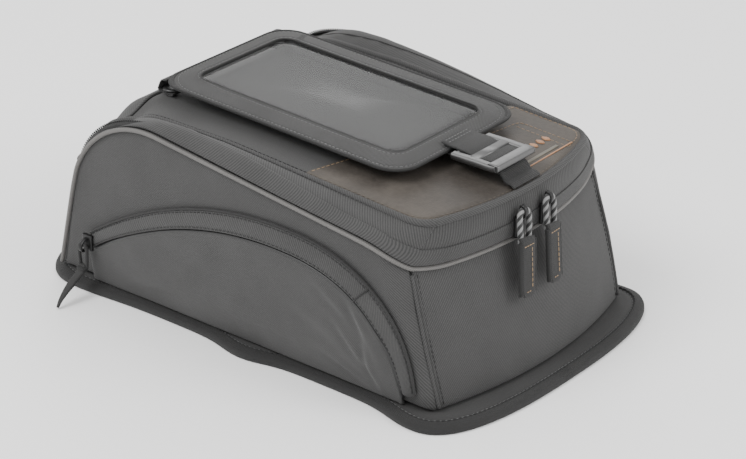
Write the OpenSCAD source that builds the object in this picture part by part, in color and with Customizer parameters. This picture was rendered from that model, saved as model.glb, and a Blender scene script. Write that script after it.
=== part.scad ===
// Motorcycle tank bag with a clamshell lid, two side pockets and a phone pocket.
// Frame: origin on the ground at the middle of the base, +X to the rider's
// right, +Y forward, +Z up. Millimetres.

/* [Flange] */
// Overall length of the base flange
flange_len = 360; // [330:2:400]
// Width of the base flange at its waist
flange_w = 205; // [196:1:240]
// How far the wing halfway along each side stands out
wing_out = 6.5; // [0:0.5:12]
// How far the rear corner lobes stand out
rear_lobe_out = 7.5; // [0:0.5:12]
// How far the front corner lobes stand out
front_lobe_out = 3.5; // [0:0.5:12]
// Thickness of the non-slip sheet under the flange
grip_t = 1.5; // [1:0.1:3]
// Thickness of the foam pad in the flange
pad_t = 4.5; // [4:0.5:8]
// Width of the binding round the flange
binding_w = 3; // [2:0.5:5]
// Diameter of the holding magnets
magnet_d = 24; // [16:1:26]
// Thickness of the holding magnets
magnet_t = 3; // [2:0.2:3]

/* [Body] */
// Width of the body where it meets the flange
base_w = 192; // [180:1:196]
// Width of the body across its shoulders
shoulder_w = 200; // [190:1:220]
// Height of the side panels' top edge halfway along the bag
side_mid_h = 117.3; // [105:0.5:125]
// Fall of the side panels' top edge towards the rear, in degrees
side_fall = 6.75; // [4:0.25:8]
// Height of the main zip across the rear
rear_zip_h = 89; // [75:1:100]
// Flange left in front of the body
front_margin = 26; // [18:1:34]
// Flange left behind the body
rear_margin = 17; // [12:1:24]
// Lean of the front panel, in degrees
front_lean = 16; // [10:1:20]
// How far the rear panel leans in over its height
rear_lean_in = 20; // [10:1:26]
// Radius of the front shoulder at the sides
shoulder_r = 67; // [45:1:72]
// Radius of the front edge in the middle of the lid
front_edge_r = 30; // [15:1:40]
// Radius of the rear corners at the zip
corner_r = 18; // [12:1:24]
// Radius of the rear corners at the flange
foot_corner_r = 8; // [7:1:16]
// Radius of the rear panel's curve at the zip
rear_bow_r = 230; // [200:5:300]
// Radius of the rear panel's curve at the flange
rear_bow_base_r = 300; // [180:10:500]
// How far the front panel bows forward
front_bow = 8; // [0:1:12]
// How far the side and rear walls bulge
wall_bow = 2; // [0:0.5:4]
// Thickness of a padded wall
wall_t = 3; // [2:0.5:4]
// Thickness of the floor board
floor_t = 2; // [1.5:0.5:3]
// Diameter of the light piping
piping_d = 4; // [3:0.5:5]
// Diameter of the dark piping on the rear corner seams
seam_piping_d = 3; // [2:0.5:4]

/* [Lid] */
// Width of the lid's top panel between its side seams
lid_w = 162; // [150:1:170]
// Height of the lid's top panel at the front
lid_h = 124.5; // [120:0.5:132]
// Fall of the lid towards the rear, in degrees
lid_fall = 3.1; // [1:0.1:4]
// Where the lid starts to fall, measured from the middle of the bag
lid_fall_y = 20; // [0:5:60]
// How far the lid's rear seam is in front of the rear zip
lid_rear_inset = 1; // [0:0.5:8]
// Radius of the lid's rear corners
lid_corner_r = 16; // [12:1:24]
// How far behind the foot of the front panel the lid's top panel ends
front_seam_back = 48; // [46:1:50]
// Height of the lid's hinge line on the front of the bag
hinge_h = 80; // [70:1:82]
// Thickness of the lid's top panel
lid_t = 2.5; // [2:0.5:4]
// Thickness of the foam board in the lid
stiffener_t = 3; // [2:0.5:5]
// How far the lid's edge band puffs up at the front
front_puff = 7; // [2:0.5:9]
// How far the lid's edge band puffs out at the rear
rear_puff = 2.5; // [0:0.5:3]
// Width of one zip tape
tape_w = 2.6; // [2:0.2:3]
// Thickness of a zip tape
tape_t = 1.5; // [1:0.1:2]
// Thickness of the leather panel
leather_t = 1.3; // [1:0.1:2]
// Where the leather panel starts in the middle, from the middle of the bag
leather_y = -55; // [-75:1:-40]
// How much further back the leather starts on the right than on the left
leather_skew = 34; // [0:1:40]

/* [Side pockets] */
// Height of the pocket face's arch
face_h = 83.5; // [70:0.5:88]
// How much further the rain flap's outer arch reaches
flap_w = 12; // [8:0.5:14]
// Where the arch is highest, from the middle of the bag
arch_peak_y = -36; // [-50:1:-20]
// Where the pocket starts at the front
arch_front_y = 124; // [110:1:126]
// Length of the arch behind its highest point
arch_rear_len = 92; // [80:1:94]
// How fast the arch falls towards the front
arch_fall = 0.0022; // [0.0018:0.0001:0.0024]
// How deep the pocket stands out in the middle
pocket_depth = 9; // [8:0.5:12]
// Thickness of the pocket face
face_t = 2; // [1.5:0.5:3]

/* [Phone pocket] */
// Width of the phone pocket
phone_w = 120; // [110:1:130]
// Length of the phone pocket
phone_l = 193; // [180:1:200]
// Middle of the phone pocket, from the middle of the bag
phone_y = 2.5; // [0:0.5:4]
// Height of the clear window's middle
window_h = 134.6; // [134:0.2:138]
// Pitch of the phone pocket, in degrees
phone_pitch = 2.14; // [1.5:0.1:2.5]
// Width of the window
window_w = 84; // [76:1:88]
// Length of the window
window_l = 161; // [150:1:166]
// Inner height of the phone pocket
phone_gap = 7.6; // [6:0.2:8]
// Corner radius of the phone pocket
phone_r = 18; // [10:1:24]
// Width of the slot that the phone goes in through
phone_slot_w = 80; // [74:1:84]

/* [Buckle] */
// Width of the buckle
buckle_w = 38; // [34:1:44]
// Length of the buckle
buckle_l = 34; // [30:1:36]
// Width of the webbing
web_w = 26; // [20:1:28]
// Thickness of the webbing
web_t = 1.6; // [1.2:0.1:2]
// Diameter of a press stud's cap
cap_d = 12; // [10:0.5:14]
// Where the press studs are, from the middle of the bag to each side
stud_x = 48.7; // [44:0.5:52]

/* [Zip pulls] */
// Width of a main zip pull
pull_w = 12; // [10:0.5:14]
// Length of a main zip pull below its loop
pull_l = 50; // [40:1:54]
// Distance of the left main slider from the middle
left_slider_x = 13; // [11:0.5:16]
// Distance of the right main slider from the middle
right_slider_x = 11; // [10:0.5:16]
// Width of a side zip pull
side_pull_w = 9; // [8:0.5:12]
// Length of a side zip pull's tab
side_pull_l = 30; // [26:1:34]

/* [Hidden] */

// Clearance between two soft pieces, and between two bodies
gap = 0.3;
// Height at which the side pulls' tips stop over the ground
ground_gap = 0.6;
// Step used to find a surface's direction
tiny = 0.004;
fabric = "#5c5c5c";
dark = "#2b2b2b";
piping_grey = "#9a9893";
hide = "#5f5750";
metal = "#9c9c9e";

base_z = grip_t + pad_t;
// The walls' outer foot, which keeps their leaning undersides off the flange
foot_z = base_z + wall_t * sin(front_lean) + 0.1;
front_y = flange_len / 2 - front_margin;
front_seam_y = front_y - front_seam_back;
rear_base_y = -(flange_len / 2 - rear_margin);
rear_top_y = rear_base_y + rear_lean_in;
lid_rear_y = rear_top_y + lid_rear_inset;
rail_y = rear_top_y + rear_bow_r;

// Shares of the way from the front edge to the middle of the rear
arc_end = 0.15;
side_end = 0.55;
corner_end = 0.70;
rear_seam = 0.70;

function mix(a, b, t) = a + (b - a) * t;
function clamp(t) = max(0, min(1, t));
function ease(t) = let(c = clamp(t)) c * c * (3 - 2 * c);
function unit(v) = v / norm(v);
function flip(p, side) = [p[0] * side, p[1], p[2]];

// --- Flange outline: straight waist with soft lobes and superelliptic ends ---
function lobe(y, at, out, reach) = out * exp(-pow((y - at) / reach, 2));
rear_lobe_y = -flange_len / 2 + 39;
front_lobe_y = flange_len / 2 - 51;
function flange_half(y) = flange_w / 2
    + lobe(y, -9, wing_out, 22)
    + lobe(y, rear_lobe_y, rear_lobe_out, 24)
    + lobe(y, front_lobe_y, front_lobe_out, 34);
function flange_end(a, y0, depth, n, inset) = let(w = flange_half(y0) - inset)
    [w * pow(max(0, cos(a)), 2 / n), y0 + sign(depth) * (abs(depth) - inset) * pow(max(0, sin(a)), 2 / n)];
function flange_right(inset) = concat(
    [for (a = [90:-9:9]) flange_end(a, rear_lobe_y, -39, 2.6, inset)],
    [for (i = [0:22]) let(y = mix(rear_lobe_y, front_lobe_y, i / 22)) [flange_half(y) - inset, y]],
    [for (a = [9:9:90]) flange_end(a, front_lobe_y, 51, 3, inset)]);
function flange_outline(inset) = let(r = flange_right(inset), n = len(r))
    concat(r, [for (i = [n - 2:-1:1]) [-r[i][0], r[i][1]]]);

// --- Side profile: a leaning front line and a falling top line with a fillet ---
function knee(h, fall, r) = let(
    tl = tan(front_lean), ts = tan(fall),
    y = (front_y - tl * (h - base_z)) / (1 + tl * ts),
    t = r / tan((90 + front_lean - fall) / 2))
    [y - t * cos(fall) + r * sin(fall), h + ts * y - t * sin(fall) - r * cos(fall)];
function knee_pt(h, fall, r, a) = let(c = knee(h, fall, r), g = mix(front_lean, 90 + fall, a))
    [c[0] + r * cos(g), c[1] + r * sin(g)];
// Height of a profile at y, from its top line or its fillet
function profile_z(h, fall, r, y) = let(c = knee(h, fall, r), ys = c[0] - r * sin(fall))
    y < ys ? h + tan(fall) * y : c[1] + sqrt(max(0, r * r - pow(y - c[0], 2)));
function side_z(y) = profile_z(side_mid_h, side_fall, shoulder_r, y);

// --- Plan of the rear: corner arc, then a shallow arc to the middle ---
function corner_y(w, rc, rr, yr) = yr + rr - sqrt(pow(rr - rc, 2) - pow(w - rc, 2));
function rear_plan(k, w, rc, rr, yr) = let(
    kc = (corner_end - side_end) / (1 - side_end),
    beta = asin((w - rc) / (rr - rc)),
    yc = corner_y(w, rc, rr, yr))
    k < kc
    ? let(a = (90 - beta) * k / kc) [w - rc + rc * cos(a), yc - rc * sin(a)]
    : let(a = beta * (1 - k) / (1 - kc)) [rr * sin(a), yr + rr - rr * cos(a)];

// --- Body wall: from the flange up to the zip line ---
top_w = shoulder_w / 2;
foot_w = base_w / 2;
top_corner_y = corner_y(top_w, corner_r, rear_bow_r, rear_top_y);
foot_corner_y = corner_y(foot_w, foot_corner_r, rear_bow_base_r, rear_base_y);
zip_drop_start = side_end - 0.03;
zip_drop_end = corner_end + 0.08;
line_start_y = knee_pt(side_mid_h, side_fall, shoulder_r, 1)[0];
function zip_z(s, y) = mix(side_z(y), rear_zip_h, ease((s - zip_drop_start) / (zip_drop_end - zip_drop_start)));
// The zip line, s = 0 at the front edge and 1 in the middle of the rear
function zip_pt(s) = s < arc_end
    ? let(p = knee_pt(side_mid_h, side_fall, shoulder_r, s / arc_end)) [top_w, p[0], p[1]]
    : s < side_end
    ? let(y = mix(line_start_y, top_corner_y, (s - arc_end) / (side_end - arc_end))) [top_w, y, zip_z(s, y)]
    : let(p = rear_plan((s - side_end) / (1 - side_end), top_w, corner_r, rear_bow_r, rear_top_y))
        [p[0], p[1], zip_z(s, top_corner_y)];
function foot_pt(s) = s < side_end
    ? [foot_w, mix(front_y, foot_corner_y, s / side_end), foot_z]
    : let(p = rear_plan((s - side_end) / (1 - side_end), foot_w, foot_corner_r, rear_bow_base_r, rear_base_y))
        [p[0], p[1], foot_z];
function bulge_way(s) = let(a = 90 * ease((s - side_end) / (1 - side_end))) [cos(a), -sin(a), 0];
function wall_pt(s, v) = mix(foot_pt(s), zip_pt(s), v)
    + bulge_way(s) * wall_bow * sin(180 * v) * ease(s / arc_end);
// Half width of the side wall at a height
function wall_x(z) = let(v = clamp((z - base_z) / (side_mid_h - base_z)))
    mix(foot_w, top_w, v) + wall_bow * sin(180 * v);

// --- Lid surface ---
function lid_edge_w(y) = let(
    w = lid_w / 2, rc = lid_corner_r, rr = rear_bow_r,
    yc = corner_y(w, rc, rr, lid_rear_y),
    beta = asin((w - rc) / (rr - rc)),
    ye = yc - rc * cos(beta))
    y >= yc ? w
    : y > ye ? w - rc + sqrt(max(0, rc * rc - pow(y - yc, 2)))
    : sqrt(max(0, rr * rr - pow(y - lid_rear_y - rr, 2)));
function lid_z(y) = profile_z(lid_h, 0, front_edge_r, y) - tan(lid_fall) * max(0, lid_fall_y - y);
lid_corner_y = corner_y(lid_w / 2, lid_corner_r, rear_bow_r, lid_rear_y);
// The lid's edge seam, matched to the zip line
function seam_pt(s) = s < seam_s
    ? front_pt(lid_w / 2, mix(hinge_v(lid_w / 2), 1, max(0, s) / seam_s))
    : s < side_end
    ? let(z = zip_pt(s), y = z[1] + (lid_corner_y - top_corner_y) * ease((s - 0.3) / 0.25))
        [lid_w / 2, y, lid_z(y)]
    : let(p = rear_plan((s - side_end) / (1 - side_end), lid_w / 2, lid_corner_r, rear_bow_r, lid_rear_y))
        [p[0], p[1], lid_z(p[1])];
// The lid's edge band, b = 0 at the zip line and 1 at the seam
band_tilt = 20;
function band_way(s) = let(g = mix(front_lean, 90 + side_fall, clamp(s / arc_end)))
    unit(mix([sin(band_tilt), cos(band_tilt) * cos(g), cos(band_tilt) * sin(g)], bulge_way(s),
        ease((s - arc_end) / (corner_end - arc_end))));
function band_pt(s, b) = mix(zip_pt(s), seam_pt(s), b)
    + band_way(s) * mix(front_puff, rear_puff, ease((s - 0.1) / 0.5)) * mix(0.2, 1, ease(s / 0.1)) * sin(180 * b);
function band_len(s) = norm(seam_pt(s) - zip_pt(s));
// Place on the zip line beside the seam between the lid's top and front panels
seam_s = let(c = knee(side_mid_h, side_fall, shoulder_r),
    g = acos((front_seam_y - c[0]) / shoulder_r)) arc_end * (g - front_lean) / (90 + side_fall - front_lean);

// --- Front: from the flange up and over to the lid's top panel, split at the hinge line ---
function front_share(x) = ease((abs(x) - lid_w / 2) / (top_w - lid_w / 2));
// Room for the side panel's thickness beside the front panel
corner_room = wall_t + 1;
front_half = top_w - corner_room;
front_knee = 0.6;
function front_pt(x, v) = let(
    q = front_share(x),
    h = mix(lid_h, side_mid_h, q), fall = mix(0, side_fall, q), r = mix(front_edge_r, shoulder_r, q),
    c = knee(h, fall, r), g1 = acos((front_seam_y - c[0]) / r),
    low = [front_y - tan(front_lean) * (foot_z - base_z), foot_z], mid = knee_pt(h, fall, r, 0),
    bow = front_bow * (1 - pow(x / top_w, 2)) * sin(180 * v),
    k = front_knee, p = v < k ? mix(low, mid, v / k)
        : let(g = mix(front_lean, g1, (v - k) / (1 - k))) [c[0] + r * cos(g), c[1] + r * sin(g)])
    [x * mix((foot_w - corner_room) / front_half, 1, clamp(v / k)), p[0] + bow, p[1]];
// Share of the way up the front at which the hinge line lies
function hinge_v(x) = let(
    q = front_share(x), h = mix(lid_h, side_mid_h, q),
    mid = knee_pt(h, mix(0, side_fall, q), mix(front_edge_r, shoulder_r, q), 0))
    front_knee * (hinge_h - foot_z) / (mid[1] - foot_z);

// --- Side pocket arches ---
function arch_pt(t, peak, rear_len, front_end) = let(k = 0.6)
    t < k
    ? let(y = mix(front_end, arch_peak_y, t / k)) [y, peak - arch_fall * pow(y - arch_peak_y, 2)]
    : let(a = 90 * (t - k) / (1 - k))
        [arch_peak_y - rear_len * pow(sin(a), 2 / 2.4),
         base_z + 1 + (peak - base_z - 1) * pow(max(0, cos(a)), 2 / 2.4)];
function inner_arch(t) = arch_pt(t, face_h, arch_rear_len, arch_front_y);
function outer_arch(t) = arch_pt(t, face_h + flap_w, arch_rear_len + flap_w * 0.8, arch_front_y + 1);
foot_depth = 2.6;
front_depth = 3.2;
function pocket_out(y, z) = let(
    lift = ease((z - base_z) / 26), back = ease((arch_front_y - y) / 55),
    tail = ease((y - arch_peak_y + arch_rear_len) / 16))
    foot_depth + (pocket_depth - foot_depth) * lift * (back * 0.9 + 0.1) * mix(0.45, 1, tail)
    + (front_depth - foot_depth) * (1 - back);
face_foot_z = base_z + gap;
function face_pt(t, v) = let(p = inner_arch(t), z = mix(face_foot_z, max(p[1], face_foot_z + 1), v))
    [wall_x(z) + pocket_out(p[0], z), p[0], z];
function flap_pt(t, v) = let(o = outer_arch(t), i = inner_arch(t),
    zo = max(o[1], face_foot_z + 1), zi = max(i[1], face_foot_z + 1),
    a = [wall_x(zo) + tape_t + 0.5, o[0], zo],
    b = [wall_x(zi) + pocket_out(i[0], zi), i[0], zi])
    mix(b, a, v) + [1.2 * sin(180 * v), 0, 0];

// --- Curved sheets: a grid of points given a thickness along its normal ---
function normal_at(f, u, v) = unit(cross(f(u, v + tiny) - f(u, v - tiny), f(u + tiny, v) - f(u - tiny, v)));
function layer(f, us, vs, off) = [for (u = us, v = vs) f(u, v) + normal_at(f, u, v) * off];
function steps(a, b, n) = [for (i = [0:n]) mix(a, b, i / n)];
function quad(a, b, c, d) = [[a, b, c], [a, c, d]];
function sheet_faces(r, c) = let(n = r * c)
    [for (q = concat(
        [for (i = [0:r - 2], j = [0:c - 2])
            quad(i * c + j, (i + 1) * c + j, (i + 1) * c + j + 1, i * c + j + 1)],
        [for (i = [0:r - 2], j = [0:c - 2])
            quad(n + i * c + j, n + i * c + j + 1, n + (i + 1) * c + j + 1, n + (i + 1) * c + j)],
        [for (i = [0:r - 2]) quad(i * c, n + i * c, n + (i + 1) * c, (i + 1) * c)],
        [for (i = [0:r - 2]) let(e = i * c + c - 1) quad(e, e + c, n + e + c, n + e)],
        [for (j = [0:c - 2]) quad(j, j + 1, n + j + 1, n + j)],
        [for (j = [0:c - 2]) let(e = (r - 1) * c + j) quad(e, n + e, n + e + 1, e + 1)])) each q];

// A sheet whose outer face is at off_out and inner face at off_in along the normal
module sheet(f, us, vs, off_out, off_in) {
    polyhedron(
        points = concat(layer(f, us, vs, off_out), layer(f, us, vs, off_in)),
        faces = sheet_faces(len(us), len(vs)));
}

// A round tube along a path of points, flat at both ends
module tube(path, d, sides = 8) {
    n = len(path);
    rings = [for (i = [0:n - 1]) let(
        t = unit(path[min(i + 1, n - 1)] - path[max(i - 1, 0)]),
        a = unit(cross(t, abs(t[2]) > 0.8 ? [1, 0, 0] : [0, 0, 1])), b = cross(t, a))
        for (k = [0:sides - 1]) path[i] + (a * cos(360 * k / sides) + b * sin(360 * k / sides)) * d / 2];
    polyhedron(points = rings, faces = concat(
        [[for (k = [0:sides - 1]) k]],
        [for (i = [0:n - 2], k = [0:sides - 1]) let(
            a = i * sides + k, b = i * sides + (k + 1) % sides)
            each quad(a, a + sides, b + sides, b)],
        [[for (k = [sides - 1:-1:0]) (n - 1) * sides + k]]));
}

module mirrored(side) {
    if (side > 0) children();
    else mirror([1, 0, 0]) children();
}

module rounded_rect(w, l, r) {
    hw = w / 2 - r;
    hl = l / 2 - r;
    polygon([for (q = [[1, 1, 0], [-1, 1, 90], [-1, -1, 180], [1, -1, 270]], a = [0:15:90])
        [q[0] * hw + r * cos(q[2] + a), q[1] * hl + r * sin(q[2] + a)]]);
}

// ================= Base =================
module grip_sheet() color(dark)
    linear_extrude(grip_t) polygon(flange_outline(binding_w));

magnet_places = [
    [flange_half(rear_lobe_y) - 24, rear_lobe_y], [flange_half(-9) - 22, -9],
    [flange_half(front_lobe_y) - 24, front_lobe_y]];
magnet_clearance = 0.2;
module at_magnets() for (p = magnet_places, side = [-1, 1]) translate([side * p[0], p[1], 0]) children();

module base_pad() color(fabric) difference() {
    translate([0, 0, grip_t]) linear_extrude(pad_t) polygon(flange_outline(binding_w));
    at_magnets() translate([0, 0, grip_t - 1])
        cylinder(h = 1 + magnet_t + magnet_clearance, d = magnet_d + 2 * magnet_clearance, $fn = 64);
}

module base_binding() color(dark) linear_extrude(base_z) difference() {
    polygon(flange_outline(0));
    polygon(flange_outline(binding_w));
}

module holding_magnets() color(metal)
    at_magnets() translate([0, 0, grip_t]) cylinder(h = magnet_t, d = magnet_d, $fn = 64);

module floor_board() color(dark) translate([0, 0, base_z]) linear_extrude(floor_t)
    polygon(let(
        m = wall_t + wall_bow + 2 * gap,
        right = [for (k = steps(0, 1, 14))
            rear_plan(k, foot_w - m, foot_corner_r - m, rear_bow_base_r - m, rear_base_y + m)],
        front = front_y - wall_t - tan(front_lean) * floor_t - 2 * gap)
        concat([[foot_w - m, front]], right, [for (i = [13:-1:0]) [-right[i][0], right[i][1]]],
            [[-(foot_w - m), front]]));

// ================= Body panels =================
module side_panel(side) color(fabric) mirrored(side)
    sheet(function(u, v) wall_pt(u, v), concat(steps(0, side_end, 16), steps(side_end + 0.025, rear_seam, 6)),
        steps(0, 1, 6), 0, -wall_t);
module left_side_panel() side_panel(-1);
module right_side_panel() side_panel(1);

function across(u, v) = u < 1 ? wall_pt(u, v) : flip(wall_pt(2 - u, v), -1);
module rear_panel() color(fabric)
    sheet(function(u, v) across(u, v), steps(rear_seam, 2 - rear_seam, 16), steps(0, 1, 6), 0, -wall_t);

hinge_slit = 0.004;
module front_panel() color(fabric)
    sheet(function(u, v) front_pt(u, v * hinge_v(u)), steps(-front_half, front_half, 20), steps(0, 1, 6), 0, -wall_t);

piping_lift = piping_d / 2 + 0.15;
function piping_top(s) = 1 - piping_d / 2 / norm(zip_pt(s) - foot_pt(s));
function piping_at(s, v) = wall_pt(s, v) + normal_at(function(a, b) wall_pt(a, b), max(s, tiny), v) * piping_lift;
module piping(side) color(piping_grey) mirrored(side)
    tube(concat([for (v = steps(0.03, 0.9, 6)) piping_at(0, v)], [for (s = steps(0.008, 0.9985, 50)) piping_at(s, piping_top(s))]),
        piping_d);
module left_piping() piping(-1);
module right_piping() piping(1);

module rear_seam_piping() color(dark) for (side = [-1, 1]) mirrored(side)
    tube([for (v = steps(0.02, 0.92, 10))
        wall_pt(rear_seam, v) + normal_at(function(a, b) wall_pt(a, b), rear_seam, v) * (seam_piping_d / 2 + 0.15)],
        seam_piping_d);

// ================= Main zip =================
// Where the tape starts: past the wall's inner face, unless it has risen over the wall's top edge
tape_room = gap + 0.1;
function edge_room(s) = let(
    q = max(s, tiny), way = unit(band_pt(s, 0.02) - zip_pt(s)),
    face = normal_at(function(a, b) wall_pt(a, b), q, 1 - tiny),
    rise = unit(wall_pt(q, 1) - wall_pt(q, 0.98)),
    up = normal_at(function(a, b) band_pt(a, b), q, 0.03),
    past = wall_t / max(0.05, -way * face), over = tape_t * max(0, up * rise) / max(0.05, way * rise),
    turned = wall_t * sqrt(max(0, 1 - pow(band_way(s) * face, 2))))
    tape_room + max(turned, min(past, over));
function belt(s, mm) = let(q = s < 1 ? s : 2 - s, p = band_pt(q, (edge_room(q) + mm) / band_len(q)))
    flip(p, s < 1 ? 1 : -1);
zip_start = 0.012;
zip_s = concat(steps(zip_start, arc_end, 8), steps(arc_end + 0.04, side_end, 8),
    steps(side_end + 0.03, 0.97, 9), [1]);
zip_path = concat(zip_s, [for (i = [len(zip_s) - 2:-1:0]) 2 - zip_s[i]]);
module zip_tape(low, high) color(dark)
    sheet(function(u, v) belt(u, v), zip_path, [low, high], 0, -tape_t);
module lower_zip_tape() zip_tape(0, tape_w);
module upper_zip_tape() zip_tape(gap + tape_w, gap + 2 * tape_w);

// ================= Lid =================
band_low = 2 * gap + 2 * tape_w + 0.2;
band_seam = rear_seam;
function band_grid(s, v) = let(
    q = s < 1 ? s : 2 - s, b0 = (edge_room(q) + band_low) / band_len(q), b1 = 1 - gap / band_len(q))
    flip(band_pt(q, mix(b0, b1, v)), s < 1 ? 1 : -1);
module lid_band(us) color(fabric)
    sheet(function(u, v) band_grid(u, v), us, steps(0, 1, 6), 0, -lid_t);
module side_lid_band(side) mirrored(side)
    lid_band(concat(steps(zip_start, arc_end, 8), steps(arc_end + 0.05, side_end, 8),
        steps(side_end + 0.03, band_seam, 5)));
module left_lid_band() side_lid_band(-1);
module right_lid_band() side_lid_band(1);
module rear_lid_band() lid_band(steps(band_seam, 2 - band_seam, 16));

// Lid top: u runs across from -1 to 1, v is the place along the bag
function lid_rows(front, inset) = concat(
    [for (k = [0, 0.12, 0.3, 0.6]) mix(lid_rear_y + inset + 1.5, lid_corner_y, k)],
    steps(lid_corner_y + 4, front, 12));
function lid_pt(u, y, inset) = let(w = max(3, lid_edge_w(y - inset) - inset)) [u * w, y, lid_z(y)];
// The lid's edge lies beside the flat side bands but inside the upright rear band
function lid_inset(y) = mix(lid_t + gap, gap, ease((y - lid_corner_y) / 40));
lid_front_y = front_seam_y - gap;
lid_front_half = lid_w / 2 - gap;
module lid_front_panel() color(fabric)
    sheet(function(u, v) front_pt(u, mix(hinge_v(u) + hinge_slit, 1, v)),
        steps(-lid_front_half, lid_front_half, 12), steps(0, 1, 10), 0, -lid_t);
module lid_panel() color(fabric)
    sheet(function(u, v) lid_pt(v, u, lid_inset(u)), lid_rows(lid_front_y, lid_t + gap), steps(-1, 1, 12), 0, -lid_t);
stiffener_inset = 9;
stiffener_gap = 2 * gap;
module lid_stiffener() color(dark)
    sheet(function(u, v) lid_pt(v, u, stiffener_inset), lid_rows(front_seam_y - stiffener_inset - 3, stiffener_inset),
        steps(-1, 1, 12), -lid_t - stiffener_gap, -lid_t - stiffener_gap - stiffener_t);

// Leather over the rear of the lid, with a slanting front edge
leather_inset = 2.6;
function leather_pt(u, v) = let(y0 = lid_rear_y + leather_inset + 1.5, y = mix(y0, leather_y - leather_skew / 2 * v, u))
    lid_pt(v, y, leather_inset);
leather_lift = 0.2;
module leather_panel() color(hide)
    sheet(function(u, v) leather_pt(u, v), [0, 0.05, 0.12, 0.22, 0.34, 0.5, 0.66, 0.82, 1], steps(-1, 1, 12),
        leather_lift + leather_t, leather_lift);

// Plain leather strips stitched on beside the strap
module on_lid(x, y, lift) translate([x, y, lid_z(y) + lift]) rotate([lid_fall, 0, 0]) children();
badge_top = leather_lift + leather_t + gap;
module leather_badge() color("#c8875a") {
    on_lid(43, -114.5, badge_top) translate([-16, -3.5, 0]) cube([32, 7, 0.9]);
    on_lid(38, -124, badge_top) translate([-16, -1.5, 0]) cube([32, 3, 0.8]);
}

// ================= Phone pocket =================
frame_t = 1.2;
back_t = 1;
window_t = 0.5;
wall_w = 3;
binding_t = 3.2;
tab_w = 11;
edge_w = 2;
module in_pocket(z) translate([0, phone_y, window_h]) rotate([phone_pitch, 0, 0]) translate([0, 0, z]) children();
back_z = -frame_t - phone_gap;
box_w = window_w + 2 * gap + 2 * wall_w;
box_l = window_l + 2 * gap + 2 * wall_w;
module frame_outline() rounded_rect(phone_w - 2 * edge_w - 2 * gap, phone_l - 2 * edge_w - 2 * gap, phone_r - edge_w);
module phone_slot() translate([-phone_slot_w / 2, box_l / 4]) square([phone_slot_w, box_l]);
module phone_pocket_back() color(dark) in_pocket(back_z - back_t)
    linear_extrude(back_t) rounded_rect(box_w, box_l, phone_r / 2 + wall_w);
module phone_pocket_wall() color(fabric) in_pocket(back_z + 0.1) linear_extrude(phone_gap - 0.2) difference() {
    rounded_rect(box_w, box_l, phone_r / 2 + wall_w);
    rounded_rect(box_w - 2 * wall_w, box_l - 2 * wall_w, phone_r / 2);
    phone_slot();
}
module phone_pocket_frame() color(fabric) in_pocket(-frame_t) linear_extrude(frame_t) difference() {
    frame_outline();
    rounded_rect(window_w, window_l, phone_r / 2);
}
module phone_window() color("#d8dde0") in_pocket(-frame_t + 0.2) linear_extrude(window_t)
    rounded_rect(window_w - 2 * gap, window_l - 2 * gap, phone_r / 2 - gap);
module phone_pocket_binding() color(dark) in_pocket(-binding_t)
    linear_extrude(binding_t) difference() {
        rounded_rect(phone_w, phone_l, phone_r);
        rounded_rect(phone_w - 2 * edge_w, phone_l - 2 * edge_w, phone_r - edge_w);
    }
// The pocket's front edge, and how far its rounded corner falls back at the tabs
phone_front_y = phone_y + phone_l / 2 * cos(phone_pitch);
phone_front_z = window_h + phone_l / 2 * sin(phone_pitch);
corner_x = stud_x - tab_w / 2 - (phone_w / 2 - phone_r);
phone_corner_y = phone_front_y - phone_r + sqrt(phone_r * phone_r - pow(max(0, corner_x), 2));

// ================= Press studs and tabs =================
stud_y = phone_front_y - 2.6;
stud_d = 7;
stud_h = 1.4;
tab_t = 1.3;
cap_t = 2;
stud_z = lid_z(stud_y) + gap;
module at_studs() for (side = [-1, 1]) translate([side * stud_x, stud_y, stud_z]) children();
module press_studs() color(metal) at_studs() cylinder(h = stud_h, d = stud_d, $fn = 32);
module press_stud_caps() color(dark) at_studs() translate([0, 0, stud_h + tab_t + 2 * gap]) {
    cylinder(h = cap_t * 0.6, d = cap_d, $fn = 48);
    translate([0, 0, cap_t * 0.6]) cylinder(h = cap_t * 0.4, d1 = cap_d, d2 = cap_d - 2.4, $fn = 48);
}
// A tab runs forward under its cap, then folds up and back to the pocket's front edge
tab_fold = cap_d / 2 + 1.8;
module tab_profile() {
    low = stud_z + stud_h + gap;
    top = phone_front_z - frame_t - gap;
    y = stud_y + tab_fold;
    polygon([
        [stud_y - cap_d / 2, low], [y, low], [y + 2.6, low + 2.6], [y + 2, mix(low, top, 0.8)],
        [phone_corner_y + gap, top], [phone_corner_y + gap, top - tab_t], [y + 0.7, mix(low, top, 0.68)],
        [y + 1.3, low + 2.9], [y - 0.4, low + tab_t], [stud_y - cap_d / 2, low + tab_t]]);
}
module front_tabs() color(fabric) for (side = [-1, 1]) translate([side * stud_x - tab_w / 2, 0, 0])
    rotate([90, 0, 90]) linear_extrude(tab_w) tab_profile();

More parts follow.
